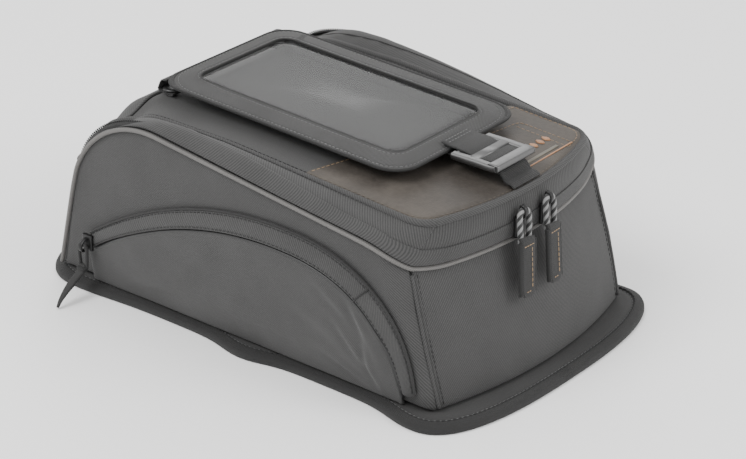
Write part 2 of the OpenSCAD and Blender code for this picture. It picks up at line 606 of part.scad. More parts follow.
// ================= Strap and buckle =================
phone_rear_y = phone_y - phone_l / 2 * cos(phone_pitch);
phone_rear_z = window_h - phone_l / 2 * sin(phone_pitch);
bar_d = 3;
buckle_t = 3;
buckle_front_y = phone_rear_y - 5;
buckle_z = phone_rear_z - binding_t / 2 - 0.4;
bar_y = buckle_front_y - bar_d / 2;
slot_w = web_w + 2;
slot_l = (buckle_l - 3 * bar_d - 4) / 2;
lip_tilt = 14;
module in_buckle() translate([0, bar_y, buckle_z]) children();
module buckle() color(metal) in_buckle() {
    rotate([0, 90, 0]) cylinder(h = slot_w + 0.4, d = bar_d, center = true, $fn = 32);
    difference() {
        translate([0, -buckle_l / 2 + bar_d / 2, -buckle_t / 2]) linear_extrude(buckle_t)
            rounded_rect(buckle_w, buckle_l, 4);
        translate([-slot_w / 2, -bar_d / 2 - slot_l, -buckle_t]) cube([slot_w, slot_l + bar_d * 2, 2 * buckle_t]);
        translate([-slot_w / 2, -2 * bar_d - 2 * slot_l, -buckle_t]) cube([slot_w, slot_l, 2 * buckle_t]);
    }
    translate([-buckle_w / 2 + 2, -buckle_l + bar_d / 2 + 1.2, 0]) rotate([-lip_tilt, 0, 0])
        translate([0, -2.4, 0]) cube([buckle_w - 4, 3, buckle_t]);
}
// Loop sewn to the phone pocket and passed round the buckle's front bar
loop_r = bar_d / 2 + gap;
module buckle_loop() color(dark) translate([-web_w / 2, 0, 0]) rotate([90, 0, 90]) linear_extrude(web_w)
    difference() {
        union() {
            translate([bar_y, buckle_z]) circle(r = loop_r + web_t, $fn = 48);
            translate([bar_y, buckle_z - loop_r - web_t]) square([phone_rear_y - gap - bar_y, web_t]);
            translate([bar_y, buckle_z + loop_r]) square([phone_rear_y - gap - bar_y, web_t]);
        }
        translate([bar_y, buckle_z]) circle(r = loop_r, $fn = 48);
    }

// Strap tail threaded through the buckle's rear slot
tail_y = bar_y - 2 * bar_d - 1.5 * slot_l;
module strap_tail() color(dark) translate([-web_w / 2, 0, 0]) rotate([90, 0, 90]) linear_extrude(web_w)
    polygon([
        [tail_y - slot_l / 2 + gap, buckle_z + buckle_t / 2], [tail_y + slot_l / 2 - gap, buckle_z + buckle_t / 2],
        [tail_y + slot_l / 2 - gap, buckle_z - buckle_t / 2 - gap],
        [bar_y + 1, buckle_z - buckle_t / 2 - 2.4], [bar_y + 1, buckle_z - buckle_t / 2 - 2.4 - web_t],
        [tail_y - slot_l / 2 + gap, buckle_z - buckle_t / 2 - gap - web_t]]);

// Strap sewn into the lid's rear seam, rising to the buckle
strap_end_y = bar_y - buckle_l + bar_d / 2 - 1.4;
strap_low = [lid_rear_y + 0.4, lid_z(lid_rear_y) + leather_lift + leather_t + gap];
strap_high = [strap_end_y + 3.4, buckle_z - buckle_t / 2 - gap - 2 * web_t - 1];
module lid_strap() color(dark) translate([-web_w / 2, 0, 0]) rotate([90, 0, 90]) linear_extrude(web_w)
    polygon([
        strap_low, [strap_low[0] + 7, strap_low[1] + 0.4], strap_high, [strap_high[0], strap_high[1] + web_t],
        [strap_low[0] + 3, strap_low[1] + 3], [strap_low[0], strap_low[1] + web_t]]);

// ================= Main sliders and pulls =================
pin_z = rear_zip_h + 17;
pin_d = 2.4;
pin_out = rear_puff + 4.2;
eye_d = 6.4;
eye_clearance = 0.2;
ear_t = 1.2;
ear_gap = 0.2;
slider_lift = rear_puff - 0.15;
rail_r = rear_bow_r;
pull_lean = 11;
pull_t = 2.5;
loop_l = 12;
// Turns the middle of the rear round the rail's centre to a slider's place
module on_rail(x) translate([0, rail_y, 0]) rotate([0, 0, asin(x / rail_r)]) translate([0, -rail_y, 0]) children();
module main_slider(x) color(dark) on_rail(x) translate([0, rear_top_y, 0]) {
    translate([-4.5, -slider_lift - 3, rear_zip_h + piping_d / 2]) cube([9, 3, 11]);
    for (side = [-1, 1]) translate([side * (pull_w / 2 + ear_gap + ear_t / 2), 0, 0]) {
        translate([-ear_t / 2, -pin_out, pin_z]) rotate([0, 90, 0]) cylinder(h = ear_t, d = 4, $fn = 32);
        translate([-ear_t / 2, -slider_lift - 3, rear_zip_h + 9]) cube([ear_t, 3, pin_z - rear_zip_h - 9]);
    }
    translate([-(pull_w / 2 + ear_gap + ear_t), -slider_lift - 3, rear_zip_h + 9]) cube([pull_w + 2 * (ear_gap + ear_t), 3, 3]);
    translate([-(pull_w / 2 + ear_gap + ear_t), -pin_out, pin_z]) rotate([0, 90, 0])
        cylinder(h = pull_w + 2 * (ear_gap + ear_t), d = pin_d, $fn = 32);
}
module left_main_slider() main_slider(-left_slider_x);
module right_main_slider() main_slider(right_slider_x);

module at_pin(x) on_rail(x) translate([0, rear_top_y - pin_out, pin_z]) rotate([-pull_lean, 0, 0]) children();
module main_cord(x) color(piping_grey) at_pin(x) difference() {
    union() {
        translate([-pull_w / 2, 0, 0]) rotate([0, 90, 0]) cylinder(h = pull_w, d = eye_d, $fn = 48);
        translate([-pull_w / 2, -eye_d / 2, -loop_l]) cube([pull_w, pull_t, loop_l]);
    }
    translate([-pull_w, 0, 0]) rotate([0, 90, 0]) cylinder(h = 2 * pull_w, d = pin_d + 2 * eye_clearance, $fn = 48);
}
module left_main_pull_cord() main_cord(-left_slider_x);
module right_main_pull_cord() main_cord(right_slider_x);

module main_tab(x) color(fabric) at_pin(x) translate([0, -eye_d / 2, -loop_l]) rotate([90, 0, 0])
    translate([0, 0, -pull_t]) linear_extrude(pull_t) polygon([
        [-pull_w / 2, 0], [-pull_w / 2, -(pull_l - loop_l) + 2], [-pull_w / 2 + 2, -(pull_l - loop_l)],
        [pull_w / 2 - 2, -(pull_l - loop_l)], [pull_w / 2, -(pull_l - loop_l) + 2], [pull_w / 2, 0]]);
module left_main_pull_tab() main_tab(-left_slider_x);
module right_main_pull_tab() main_tab(right_slider_x);

// ================= Side pockets =================
module pocket_face(side) color(fabric) mirrored(side)
    sheet(function(u, v) face_pt(u, v), concat(steps(0.001, 0.6, 14), steps(0.64, 0.995, 10)), steps(0, 1, 6), 0, -face_t);
module left_pocket_face() pocket_face(-1);
module right_pocket_face() pocket_face(1);

flap_start = 0.04;
module rain_flap(side) color(fabric) mirrored(side)
    sheet(function(u, v) flap_pt(u, v), concat(steps(flap_start, 0.6, 14), steps(0.64, 0.985, 10)),
        steps(0.08, 0.98, 4), 0, -tape_t);
module left_rain_flap() rain_flap(-1);
module right_rain_flap() rain_flap(1);

side_eye_d = 6;
side_slider_y = arch_front_y - 3.5;
side_slider_z = outer_arch(0)[1] - 2.5;
side_slider_x = wall_x(side_slider_z) + pocket_out(arch_front_y - 20, side_slider_z) - 0.9;
side_pin = [side_slider_x + 3 + side_eye_d / 2 + gap, side_slider_y, side_slider_z - 2];
module side_slider(side) color(dark) mirrored(side) {
    translate([side_slider_x, side_slider_y - 4, side_slider_z - 5]) cube([3, 8, 10]);
    for (end = [-1, 1]) translate([0, side_slider_y + end * (side_pull_w / 2 + ear_gap + ear_t / 2), 0]) {
        translate([side_pin[0], ear_t / 2, side_pin[2]]) rotate([90, 0, 0]) cylinder(h = ear_t, d = 4, $fn = 32);
        translate([side_slider_x, -ear_t / 2, side_pin[2] - 1.5]) cube([side_pin[0] - side_slider_x, ear_t, 3]);
    }
    translate([side_slider_x, side_slider_y - side_pull_w / 2 - ear_gap - ear_t, side_pin[2] - 1.5])
        cube([1.4, side_pull_w + 2 * (ear_gap + ear_t), 3]);
    translate([side_pin[0], side_slider_y + side_pull_w / 2 + ear_gap + ear_t, side_pin[2]]) rotate([90, 0, 0])
        cylinder(h = side_pull_w + 2 * (ear_gap + ear_t), d = pin_d, $fn = 32);
}
module left_side_slider() side_slider(-1);
module right_side_slider() side_slider(1);

side_cord_l = 13;
side_tab_top = side_pin[2] - side_cord_l - pull_t;
side_tab_lean = acos((side_tab_top - ground_gap) / side_pull_l);
module side_cord(side) color(dark) mirrored(side) translate(side_pin) difference() {
    union() {
        translate([0, side_pull_w / 2, 0]) rotate([90, 0, 0]) cylinder(h = side_pull_w, d = side_eye_d, $fn = 48);
        translate([side_eye_d / 2 - pull_t, -side_pull_w / 2, -side_cord_l]) cube([pull_t, side_pull_w, side_cord_l]);
    }
    translate([0, side_pull_w, 0]) rotate([90, 0, 0])
        cylinder(h = 2 * side_pull_w, d = pin_d + 2 * eye_clearance, $fn = 48);
}
module left_side_pull_cord() side_cord(-1);
module right_side_pull_cord() side_cord(1);

module side_tab(side) color(fabric) mirrored(side)
    translate([side_pin[0] + side_eye_d / 2 - pull_t, side_pin[1], side_tab_top]) rotate([0, -side_tab_lean, 0])
        translate([0, -side_pull_w / 2, -side_pull_l]) cube([pull_t, side_pull_w, side_pull_l]);
module left_side_pull_tab() side_tab(-1);
module right_side_pull_tab() side_tab(1);

grip_sheet();
base_pad();
base_binding();
holding_magnets();
floor_board();
front_panel();
rear_panel();
left_side_panel();
right_side_panel();
left_piping();
right_piping();
rear_seam_piping();
lower_zip_tape();
left_pocket_face();
right_pocket_face();
left_rain_flap();
right_rain_flap();
upper_zip_tape();
lid_panel();
lid_front_panel();
lid_stiffener();
left_lid_band();
right_lid_band();
rear_lid_band();
leather_panel();
leather_badge();
press_studs();
press_stud_caps();
front_tabs();
lid_strap();
phone_pocket_back();
phone_pocket_wall();
phone_pocket_frame();
phone_window();
phone_pocket_binding();
buckle_loop();
buckle();
strap_tail();
left_main_slider();
right_main_slider();
left_main_pull_cord();
right_main_pull_cord();
left_main_pull_tab();
right_main_pull_tab();
left_side_slider();
right_side_slider();
left_side_pull_cord();
right_side_pull_cord();
left_side_pull_tab();
right_side_pull_tab();
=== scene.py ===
import math
import bmesh
import bpy
import numpy as np
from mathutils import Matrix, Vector, noise


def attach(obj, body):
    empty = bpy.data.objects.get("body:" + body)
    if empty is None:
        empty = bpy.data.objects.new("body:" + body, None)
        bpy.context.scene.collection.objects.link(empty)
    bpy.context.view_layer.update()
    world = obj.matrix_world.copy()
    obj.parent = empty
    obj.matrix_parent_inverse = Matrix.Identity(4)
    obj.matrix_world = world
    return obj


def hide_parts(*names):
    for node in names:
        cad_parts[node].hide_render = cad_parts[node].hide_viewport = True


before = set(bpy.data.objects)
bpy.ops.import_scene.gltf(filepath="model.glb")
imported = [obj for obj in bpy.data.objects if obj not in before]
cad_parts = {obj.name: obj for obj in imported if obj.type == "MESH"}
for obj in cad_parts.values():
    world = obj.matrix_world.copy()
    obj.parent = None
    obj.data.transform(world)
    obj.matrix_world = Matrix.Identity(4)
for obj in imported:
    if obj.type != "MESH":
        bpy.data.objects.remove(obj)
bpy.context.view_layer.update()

MM = 0.001

# ================= Camera, light and floor =================
AZIMUTH, ELEVATION, DISTANCE = -50.66, 26.42, 1.62128
TARGET = Vector((0.00369, -0.022, 0.04779))


def sd(a):
    return math.sin(math.radians(a))


def cd(a):
    return math.cos(math.radians(a))


def td(a):
    return math.tan(math.radians(a))


def make_camera():
    back = Vector((sd(AZIMUTH) * cd(ELEVATION), -cd(AZIMUTH) * cd(ELEVATION), sd(ELEVATION)))
    data = bpy.data.cameras.new("camera")
    data.lens = 125.47
    data.sensor_width = 36
    data.clip_end = 50
    camera = bpy.data.objects.new("camera", data)
    bpy.context.collection.objects.link(camera)
    camera.location = TARGET + back * DISTANCE
    camera.rotation_euler = back.to_track_quat("Z", "Y").to_euler()
    bpy.context.scene.camera = camera


def area_light(name, place, size, power, tint=(1, 1, 1)):
    data = bpy.data.lights.new(name, "AREA")
    data.shape = "DISK"
    data.size = size
    data.energy = power
    data.color = tint
    lamp = bpy.data.objects.new(name, data)
    lamp.location = place
    lamp.rotation_euler = (Vector(place) - TARGET).to_track_quat("Z", "Y").to_euler()
    bpy.context.collection.objects.link(lamp)


def make_world(colour, strength):
    world = bpy.data.worlds.new("studio")
    world.use_nodes = True
    shade = world.node_tree.nodes["Background"]
    shade.inputs["Color"].default_value = (*colour, 1)
    shade.inputs["Strength"].default_value = strength
    bpy.context.scene.world = world


make_camera()
make_world((1.0, 0.995, 0.99), 1.25)
area_light("key", (-1.3, 0.5, 1.9), 1.3, 40)
area_light("rear_fill", (0.6, -1.9, 1.3), 1.2, 22)
area_light("front_fill", (1.6, 1.3, 1.2), 1.2, 12)


# ================= Materials =================
def add(tree, kind, inputs=(), **attributes):
    """A shader node whose inputs are given as values or as sockets to join."""
    node = tree.nodes.new("ShaderNode" + kind)
    for key, value in attributes.items():
        setattr(node, key, value)
    for key, value in dict(inputs).items():
        if isinstance(value, bpy.types.NodeSocket):
            tree.links.new(value, node.inputs[key])
        else:
            node.inputs[key].default_value = value
    return node


def calc(tree, operation, a, b=0.0):
    return add(tree, "Math", {0: a, 1: b}, operation=operation).outputs[0]


def ramp(tree, value, low, high, c0, c1):
    """A colour that goes from c0 at low to c1 at high."""
    node = add(tree, "ValToRGB", {0: value})
    for element, place, colour in zip(node.color_ramp.elements, (low, high), (c0, c1)):
        element.position = place
        element.color = (*colour, 1)
    return node.outputs[0]


def grey(v, warm=0.0):
    return (v * (1 + warm), v, v * (1 - warm))


def start(name, rough, **sockets):
    """A new material, its tree, its shader and the places in the object's own frame."""
    material = bpy.data.materials.new(name)
    material.use_nodes = True
    tree = material.node_tree
    shader = tree.nodes["Principled BSDF"]
    shader.inputs["Roughness"].default_value = rough
    for key, value in sockets.items():
        shader.inputs[key.replace("_", " ")].default_value = value
    place = add(tree, "TexCoord").outputs["Object"]
    return material, tree, shader, place


def finish_look(tree, shader, colour, height, depth, strength=1.0):
    tree.links.new(colour, shader.inputs["Base Color"])
    bump = add(tree, "Bump", {"Height": height, "Distance": depth, "Strength": strength})
    tree.links.new(bump.outputs[0], shader.inputs["Normal"])


def cloth(name, dark, light, pitch=1.0, depth=0.12, rough=0.88, sheen=0.06, warm=0.008, ribs="twill"):
    """Woven cloth: threads along the piece's own weave map, with soft patches and wear."""
    material, tree, shader, place = start(name, rough, Sheen_Weight=sheen, Sheen_Roughness=0.4)
    thread = add(tree, "UVMap", uv_map="weave").outputs[0]
    scale = 0.628 / (pitch * MM)
    across = add(tree, "TexWave", {"Vector": thread, "Scale": scale, "Distortion": 0.4, "Detail": 1.0,
                                   "Detail Scale": 2.0},
                 bands_direction="DIAGONAL" if ribs == "twill" else "X").outputs["Fac"]
    along = add(tree, "TexWave", {"Vector": thread, "Scale": scale * 1.35, "Distortion": 0.3},
                bands_direction="Y").outputs["Fac"]
    weave = calc(tree, "ADD", calc(tree, "MULTIPLY", across, 0.75), calc(tree, "MULTIPLY", along, 0.25))
    blotches = {"Vector": place, "Scale": 32.0, "Detail": 5.0, "Roughness": 0.6}
    patches = add(tree, "TexNoise", blotches).outputs[0]
    slub = add(tree, "TexNoise", {"Vector": thread, "Scale": 900.0, "Detail": 2.0}).outputs[0]
    tone = calc(tree, "ADD", calc(tree, "MULTIPLY", weave, 0.5), calc(tree, "MULTIPLY", slub, 0.32))
    tone = calc(tree, "ADD", tone, calc(tree, "MULTIPLY", patches, 0.26))
    colour = ramp(tree, tone, 0.3, 0.78, grey(dark, warm), grey(light, warm))
    height = calc(tree, "ADD", weave, calc(tree, "MULTIPLY", slub, 0.5))
    finish_look(tree, shader, colour, height, depth * MM)
    return material


def grained(name, dark, light, scale, depth, rough, spots=14.0, **sockets):
    """A hide or moulded surface: fine cells for grain, larger soft spots for colour and gloss."""
    material, tree, shader, place = start(name, rough, **sockets)
    cells = add(tree, "TexVoronoi", {"Vector": place, "Scale": scale}, feature="DISTANCE_TO_EDGE").outputs[0]
    fine = add(tree, "TexNoise", {"Vector": place, "Scale": scale * 0.6, "Detail": 6.0}).outputs[0]
    mottle = add(tree, "TexNoise", {"Vector": place, "Scale": spots, "Detail": 6.0, "Roughness": 0.62,
                                    "Distortion": 0.6}).outputs[0]
    tone = calc(tree, "ADD", calc(tree, "MULTIPLY", mottle, 0.8), calc(tree, "MULTIPLY", fine, 0.2))
    colour = ramp(tree, tone, 0.36, 0.64, dark, light)
    shine = add(tree, "MapRange", {"Value": mottle, "From Min": 0.3, "From Max": 0.7,
                                   "To Min": rough * 0.82, "To Max": min(1.0, rough * 1.12)}).outputs[0]
    tree.links.new(shine, shader.inputs["Roughness"])
    height = calc(tree, "ADD", calc(tree, "MINIMUM", cells, 0.25), calc(tree, "MULTIPLY", fine, 0.3))
    finish_look(tree, shader, colour, height, depth * MM)
    return material


def brushed(name, base, rough, stretch=(900, 60, 60)):
    """Satin metal with fine drawn lines and a little dirt."""
    material, tree, shader, place = start(name, rough, Metallic=1.0)
    lines = add(tree, "Mapping", {"Vector": place, "Scale": stretch}).outputs[0]
    streaks = add(tree, "TexNoise", {"Vector": lines, "Scale": 1.0, "Detail": 3.0}).outputs[0]
    dirt = add(tree, "TexNoise", {"Vector": place, "Scale": 60.0, "Detail": 4.0}).outputs[0]
    tone = calc(tree, "ADD", calc(tree, "MULTIPLY", streaks, 0.5), calc(tree, "MULTIPLY", dirt, 0.5))
    colour = ramp(tree, tone, 0.3, 0.7, grey(base * 0.78), grey(base))
    gloss = add(tree, "MapRange", {"Value": streaks, "To Min": rough * 0.8, "To Max": rough * 1.3}).outputs[0]
    tree.links.new(gloss, shader.inputs["Roughness"])
    finish_look(tree, shader, colour, streaks, 0.02 * MM)
    return material


def striped(name, dark, light, pitch):
    """A laid cord: slanting stripes of two yarns along the cord's own map."""
    material, tree, shader, _ = start(name, 0.7, Sheen_Weight=0.2)
    thread = add(tree, "UVMap", uv_map="weave").outputs[0]
    stripes = add(tree, "TexWave", {"Vector": thread, "Scale": 0.628 / (pitch * MM)},
                  bands_direction="DIAGONAL").outputs["Fac"]
    yarn = add(tree, "TexWave", {"Vector": thread, "Scale": 0.628 / (0.7 * MM)},
               bands_direction="DIAGONAL").outputs["Fac"]
    colour = ramp(tree, stripes, 0.42, 0.6, grey(dark), grey(light))
    finish_look(tree, shader, colour, calc(tree, "ADD", stripes, yarn), 0.2 * MM)
    return material


def clear_film(name):
    material, tree, shader, place = start(name, 0.22, Alpha=0.3)
    ripple = add(tree, "TexNoise", {"Vector": place, "Scale": 9.0, "Detail": 1.0}).outputs[0]
    haze = ramp(tree, ripple, 0.3, 0.8, grey(0.02), grey(0.035))
    finish_look(tree, shader, haze, ripple, 0.1 * MM)
    return material


LOOK = {
    "woven_fabric": cloth("woven_fabric", 0.024, 0.06, 1.9, 0.18),
    "pocket_fabric": cloth("pocket_fabric", 0.006, 0.018, 0.9),
    "lining": cloth("lining", 0.010, 0.022, 0.7, 0.06),
    "frame_fabric": cloth("frame_fabric", 0.018, 0.06, 1.5, 0.18),
    "flange_fabric": cloth("flange_fabric", 0.012, 0.042, 1.6, 0.18),
    "rubber_sheet": grained("rubber_sheet", grey(0.012), grey(0.03), 420, 0.5, 0.75),
    "binding": cloth("binding", 0.007, 0.022, 0.9, 0.15, ribs="plain"),
    "board": grained("board", grey(0.02), grey(0.035), 900, 0.05, 0.8),
    "magnet": brushed("magnet", 0.5, 0.35),
    "grey_piping": cloth("grey_piping", 0.075, 0.14, 1.2, 0.1, 0.7, 0.05, 0.04),
    "dark_piping": cloth("dark_piping", 0.012, 0.03, 0.7),
    "zip_tape": cloth("zip_tape", 0.006, 0.016, 0.6, ribs="plain"),
    "zip_coil": grained("zip_coil", grey(0.008), grey(0.02), 800, 0.03, 0.45),
    "leather": grained("leather", (0.036, 0.0305, 0.026), (0.078, 0.068, 0.058), 620, 0.2, 0.68, 18.0,
                       Specular_IOR_Level=0.35),
    # The leather edge look is a lighter olive than the leather: a painted highlight for the leather's thick
    # edge. The patch's underside and the badge's dark strip use it too.
    "leather_edge_highlight": grained("leather_edge_highlight", (0.055, 0.05, 0.04), (0.12, 0.11, 0.085), 700, 0.1, 0.6),
    "tan_leather": grained("tan_leather", (0.22, 0.10, 0.045), (0.36, 0.18, 0.08), 800, 0.1, 0.55, 60.0),
    "stud_metal": brushed("stud_metal", 0.45, 0.3),
    "cap_plastic": grained("cap_plastic", grey(0.012), grey(0.022), 900, 0.03, 0.38),
    "webbing": cloth("webbing", 0.008, 0.032, 1.7, 0.3, 0.8, ribs="plain"),
    "clear_film": clear_film("clear_film"),
    "buckle_metal": brushed("buckle_metal", 0.15, 0.42),
    "slider_metal": grained("slider_metal", grey(0.01), grey(0.03), 500, 0.03, 0.35, Metallic=0.6),
    "striped_cord": striped("striped_cord", 0.010, 0.24, 5.0),
    "pull_cord": cloth("pull_cord", 0.008, 0.03, 0.9, ribs="twill"),
    "pull_tab": cloth("pull_tab", 0.010, 0.036, 1.2, 0.2),
    "tan_thread": grained("tan_thread", (0.2, 0.135, 0.08), (0.32, 0.225, 0.135), 900, 0.05, 0.7),
    "leather_thread": grained("leather_thread", (0.05, 0.04, 0.03), (0.1, 0.085, 0.065), 900, 0.05, 0.7),
    "grey_thread": grained("grey_thread", grey(0.07), grey(0.14), 900, 0.05, 0.7),
    "black_thread": grained("black_thread", grey(0.006), grey(0.014), 900, 0.05, 0.7),
    "floor": grained("floor", grey(0.95), grey(0.96), 5, 0.0, 0.95, 1.0),
}


# ================= Mesh making =================
def mix(a, b, t):
    return a + (b - a) * t


def clamp(t):
    return max(0.0, min(1.0, t))


def ease(t):
    c = clamp(t)
    return c * c * (3 - 2 * c)


def vec(*p):
    return np.array(p, float)


def unit(v):
    return v / max(np.linalg.norm(v), 1e-9)


def steps(a, b, n):
    return [mix(a, b, i / n) for i in range(n + 1)]


def soft_steps(a, b, n):
    """Steps that are closer together at both ends, for rounded edges."""
    return [mix(a, b, 0.45 * i / n + 0.55 * (0.5 - 0.5 * math.cos(math.pi * i / n))) for i in range(n + 1)]


def wobble(p, size, seed=0.0):
    """Smooth noise from -1 to 1 at a place, with features of about that size in mm."""
    return noise.noise(Vector((p[0] / size + seed, p[1] / size, p[2] / size)))


def new_piece(name, points, faces, materials, uvs=None, flat=(), index=None):
    """A mesh object from points in mm. flat lists faces kept sharp, index the material of each face."""
    mesh = bpy.data.meshes.new(name)
    mesh.from_pydata((np.asarray(points) * MM).tolist(), [], faces)
    shell = bmesh.new()
    shell.from_mesh(mesh)
    bmesh.ops.recalc_face_normals(shell, faces=shell.faces)
    shell.to_mesh(mesh)
    shell.free()
    faces = [list(face.vertices) for face in mesh.polygons]
    for material in materials:
        mesh.materials.append(LOOK[material])
    mesh.shade_smooth()
    mesh.polygons.foreach_set("use_smooth", [i not in flat for i in range(len(faces))])
    if index is not None:
        mesh.polygons.foreach_set("material_index", index)
    if uvs is not None:
        layer = mesh.uv_layers.new(name="weave")
        spots = np.asarray(uvs, np.float32) * MM
        layer.uv.foreach_set("vector", spots[np.concatenate([np.asarray(f) for f in faces])].ravel())
    mesh.validate()
    piece = bpy.data.objects.new(name, mesh)
    bpy.context.collection.objects.link(piece)
    return piece


def settle(piece):
    """Lets the lid's soft front corners sink towards the zip."""
    for spot in piece.data.vertices:
        x, y, z = np.array(spot.co) / MM
        low = side_z(y)
        share = clamp((z - low) / max(6, lid_z(y) - low)) * ease((z - CORNER_Z) / 24)
        share *= ease((abs(x) - CORNER_X) / CORNER_REACH) * ease((y - CORNER_Y) / CORNER_LEN)
        spot.co.z -= CORNER_SINK * MM * share


def place(piece, body, slot, *nodes, fill=None):
    """Rides a finished piece on its body, settling lid pieces first, and hides the CAD parts it stands in
    for.
    """
    if body == "lid":
        settle(piece)
    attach(piece, body)
    if nodes:
        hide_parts(*nodes)
    return piece


def normals(grid):
    n = np.cross(np.gradient(grid, axis=1), np.gradient(grid, axis=0))
    return n / np.maximum(np.linalg.norm(n, axis=2, keepdims=True), 1e-9)


def run_length(grid, axis):
    """Distance along the grid's lines from their start, in mm."""
    gaps = np.linalg.norm(np.diff(grid, axis=axis), axis=2)
    pad = [(0, 0), (0, 0)]
    pad[axis] = (1, 0)
    return np.pad(np.cumsum(gaps, axis=axis), pad)


def sheet(name, surface, us, vs, thick, materials, side=1, puff=None, rim=0.0, rim_ends=(1, 1, 1, 1)):
    """A closed cloth sheet. Its outer face is the surface plus puff(point, u, v) along the normal, its
    inner face lies thick below, and rim rounds the edges at the starts and ends of u and v."""
    outer = np.array([[surface(u, v) for v in vs] for u in us])
    n = normals(outer)
    inner = outer - n * thick
    along, across = run_length(outer, 0), run_length(outer, 1)
    lift = np.zeros(outer.shape[:2])
    if puff:
        lift += np.array([[puff(outer[i, j], u, v) for j, v in enumerate(vs)] for i, u in enumerate(us)])
    if rim:
        ends = (along, along[-1:] - along, across, across[:, -1:] - across)
        for gaps, used in zip(ends, rim_ends):
            if used:
                t = np.clip(1 - gaps / rim, 0, 1)
                lift -= thick * 0.8 * (1 - np.sqrt(1 - t * t * 0.96))
    outer = outer + n * lift[..., None]
    inner = inner + n * (np.minimum(lift, 0) * 0.1)[..., None]
    rows, cols = outer.shape[:2]
    points = np.concatenate([outer.reshape(-1, 3), inner.reshape(-1, 3)])
    uvs = np.concatenate([np.stack([along, across], 2).reshape(-1, 2)] * 2)
    size = rows * cols
    faces, index = [], []
    for i in range(rows - 1):
        for j in range(cols - 1):
            a, b, c, d = i * cols + j, (i + 1) * cols + j, (i + 1) * cols + j + 1, i * cols + j + 1
            faces += [[a, d, c, b], [size + a, size + b, size + c, size + d]]
            index += [0, len(materials) - 1]
    edge = [i * cols for i in range(rows)] + [(rows - 1) * cols + j for j in range(1, cols)]
    edge += [i * cols + cols - 1 for i in range(rows - 2, -1, -1)] + list(range(cols - 2, 0, -1))
    first = len(faces)
    for a, b in zip(edge, edge[1:] + edge[:1]):
        faces.append([a, b, size + b, size + a])
        index.append(0)
    if side < 0:
        points = points * vec(-1, 1, 1)
        faces = [f[::-1] for f in faces]
    return new_piece(name, points, faces, materials, uvs, set(range(first, len(faces))), index)


def lengths(path):
    """Distance from a path's start at each of its points."""
    return np.concatenate([[0], np.cumsum(np.linalg.norm(np.diff(np.asarray(path, float), axis=0), axis=1))])


def frames(path, aside=None, closed=False):
    """Direction, side and normal at each point of a path; the side keeps near aside if it is given."""
    path = np.asarray(path, float)
    if closed:
        ahead = np.roll(path, -1, 0) - np.roll(path, 1, 0)
    else:
        ahead = np.gradient(path, axis=0)
    ahead = [unit(t) for t in ahead]
    if aside is None:
        s = np.cross(ahead[0], vec(0, 0, 1) if abs(ahead[0][2]) < 0.8 else vec(1, 0, 0))
    out = []
    for i, t in enumerate(ahead):
        s = s if aside is None else vec(*(aside[i] if np.ndim(aside) > 1 else aside))
        s = unit(s - t * np.dot(s, t))
        out.append((t, s, np.cross(s, t)))
    return out


def sweep(name, path, section, materials, aside=None, closed=False, taper=None, flat_caps=True):
    """A section of (side, normal) points in mm swept along a path."""
    path = np.asarray(path, float)
    k = len(section)
    points, uvs = [], []
    turn, run = lengths(section + section[:1]), lengths(path)
    for i, (p, (_, s, n)) in enumerate(zip(path, frames(path, aside, closed))):
        f = taper(run[i] / run[-1]) if taper else 1.0
        for j, (a, b) in enumerate(section):
            points.append(p + (s * a + n * b) * f)
            uvs.append((run[i], turn[j]))
    rings = len(path)
    faces = []
    for i in range(rings if closed else rings - 1):
        for j in range(k):
            a, b = i * k + j, i * k + (j + 1) % k
            c, d = (i + 1) % rings * k + (j + 1) % k, (i + 1) % rings * k + j
            faces.append([a, d, c, b])
    flat = set()
    if not closed:
        faces += [list(range(k)), [(rings - 1) * k + j for j in range(k - 1, -1, -1)]]
        flat = {len(faces) - 1, len(faces) - 2} if flat_caps else set()
    return new_piece(name, points, faces, materials, uvs, flat)


def circle(r, sides=12):
    return [(r * cd(360 * i / sides), r * sd(360 * i / sides)) for i in range(sides)]


def slab_section(w, t, r, turns=(0, 30, 60, 90)):
    """A rectangle's section with rounded corners."""
    out = []
    for sx, sy, a0 in ((1, 1, 0), (-1, 1, 90), (-1, -1, 180), (1, -1, 270)):
        x, y = sx * (w / 2 - r), sy * (t / 2 - r)
        out += [(x + r * cd(a0 + a), y + r * sd(a0 + a)) for a in turns]
    return out


def strap_section(w, t, corner=3):
    """A flat strap's section with rounded edges."""
    r = t / 2
    out = []
    for sign in (1, -1):
        for k in range(corner + 1):
            a = -90 + 180 * k / corner
            out.append((sign * (w / 2 - r + r * cd(a)), sign * r * sd(a)))
    return out


def curve_through(points, n=8, closed=False):
    """A smooth path through points, n steps for each gap."""
    p = [vec(*q) for q in points]
    m = len(p)
    out = []
    for i in range(m if closed else m - 1):
        if closed:
            a, b, c, d = p[i - 1], p[i], p[(i + 1) % m], p[(i + 2) % m]
        else:
            a, b, c, d = p[max(i - 1, 0)], p[i], p[i + 1], p[min(i + 2, m - 1)]
        for k in range(n):
            t = k / n
            out.append(0.5 * (2 * b + (c - a) * t + (2 * a - 5 * b + 4 * c - d) * t * t
                              + (3 * b - a - 3 * c + d) * t ** 3))
    if not closed:
        out.append(p[-1])
    return out


def resample(path, gap):
    """Points along a path, evenly and about gap apart."""
    path = np.asarray(path, float)
    run = lengths(path)
    n = max(1, round(run[-1] / gap))
    at = np.linspace(0, run[-1], n + 1)
    return np.stack([np.interp(at, run, path[:, k]) for k in range(3)], 1)


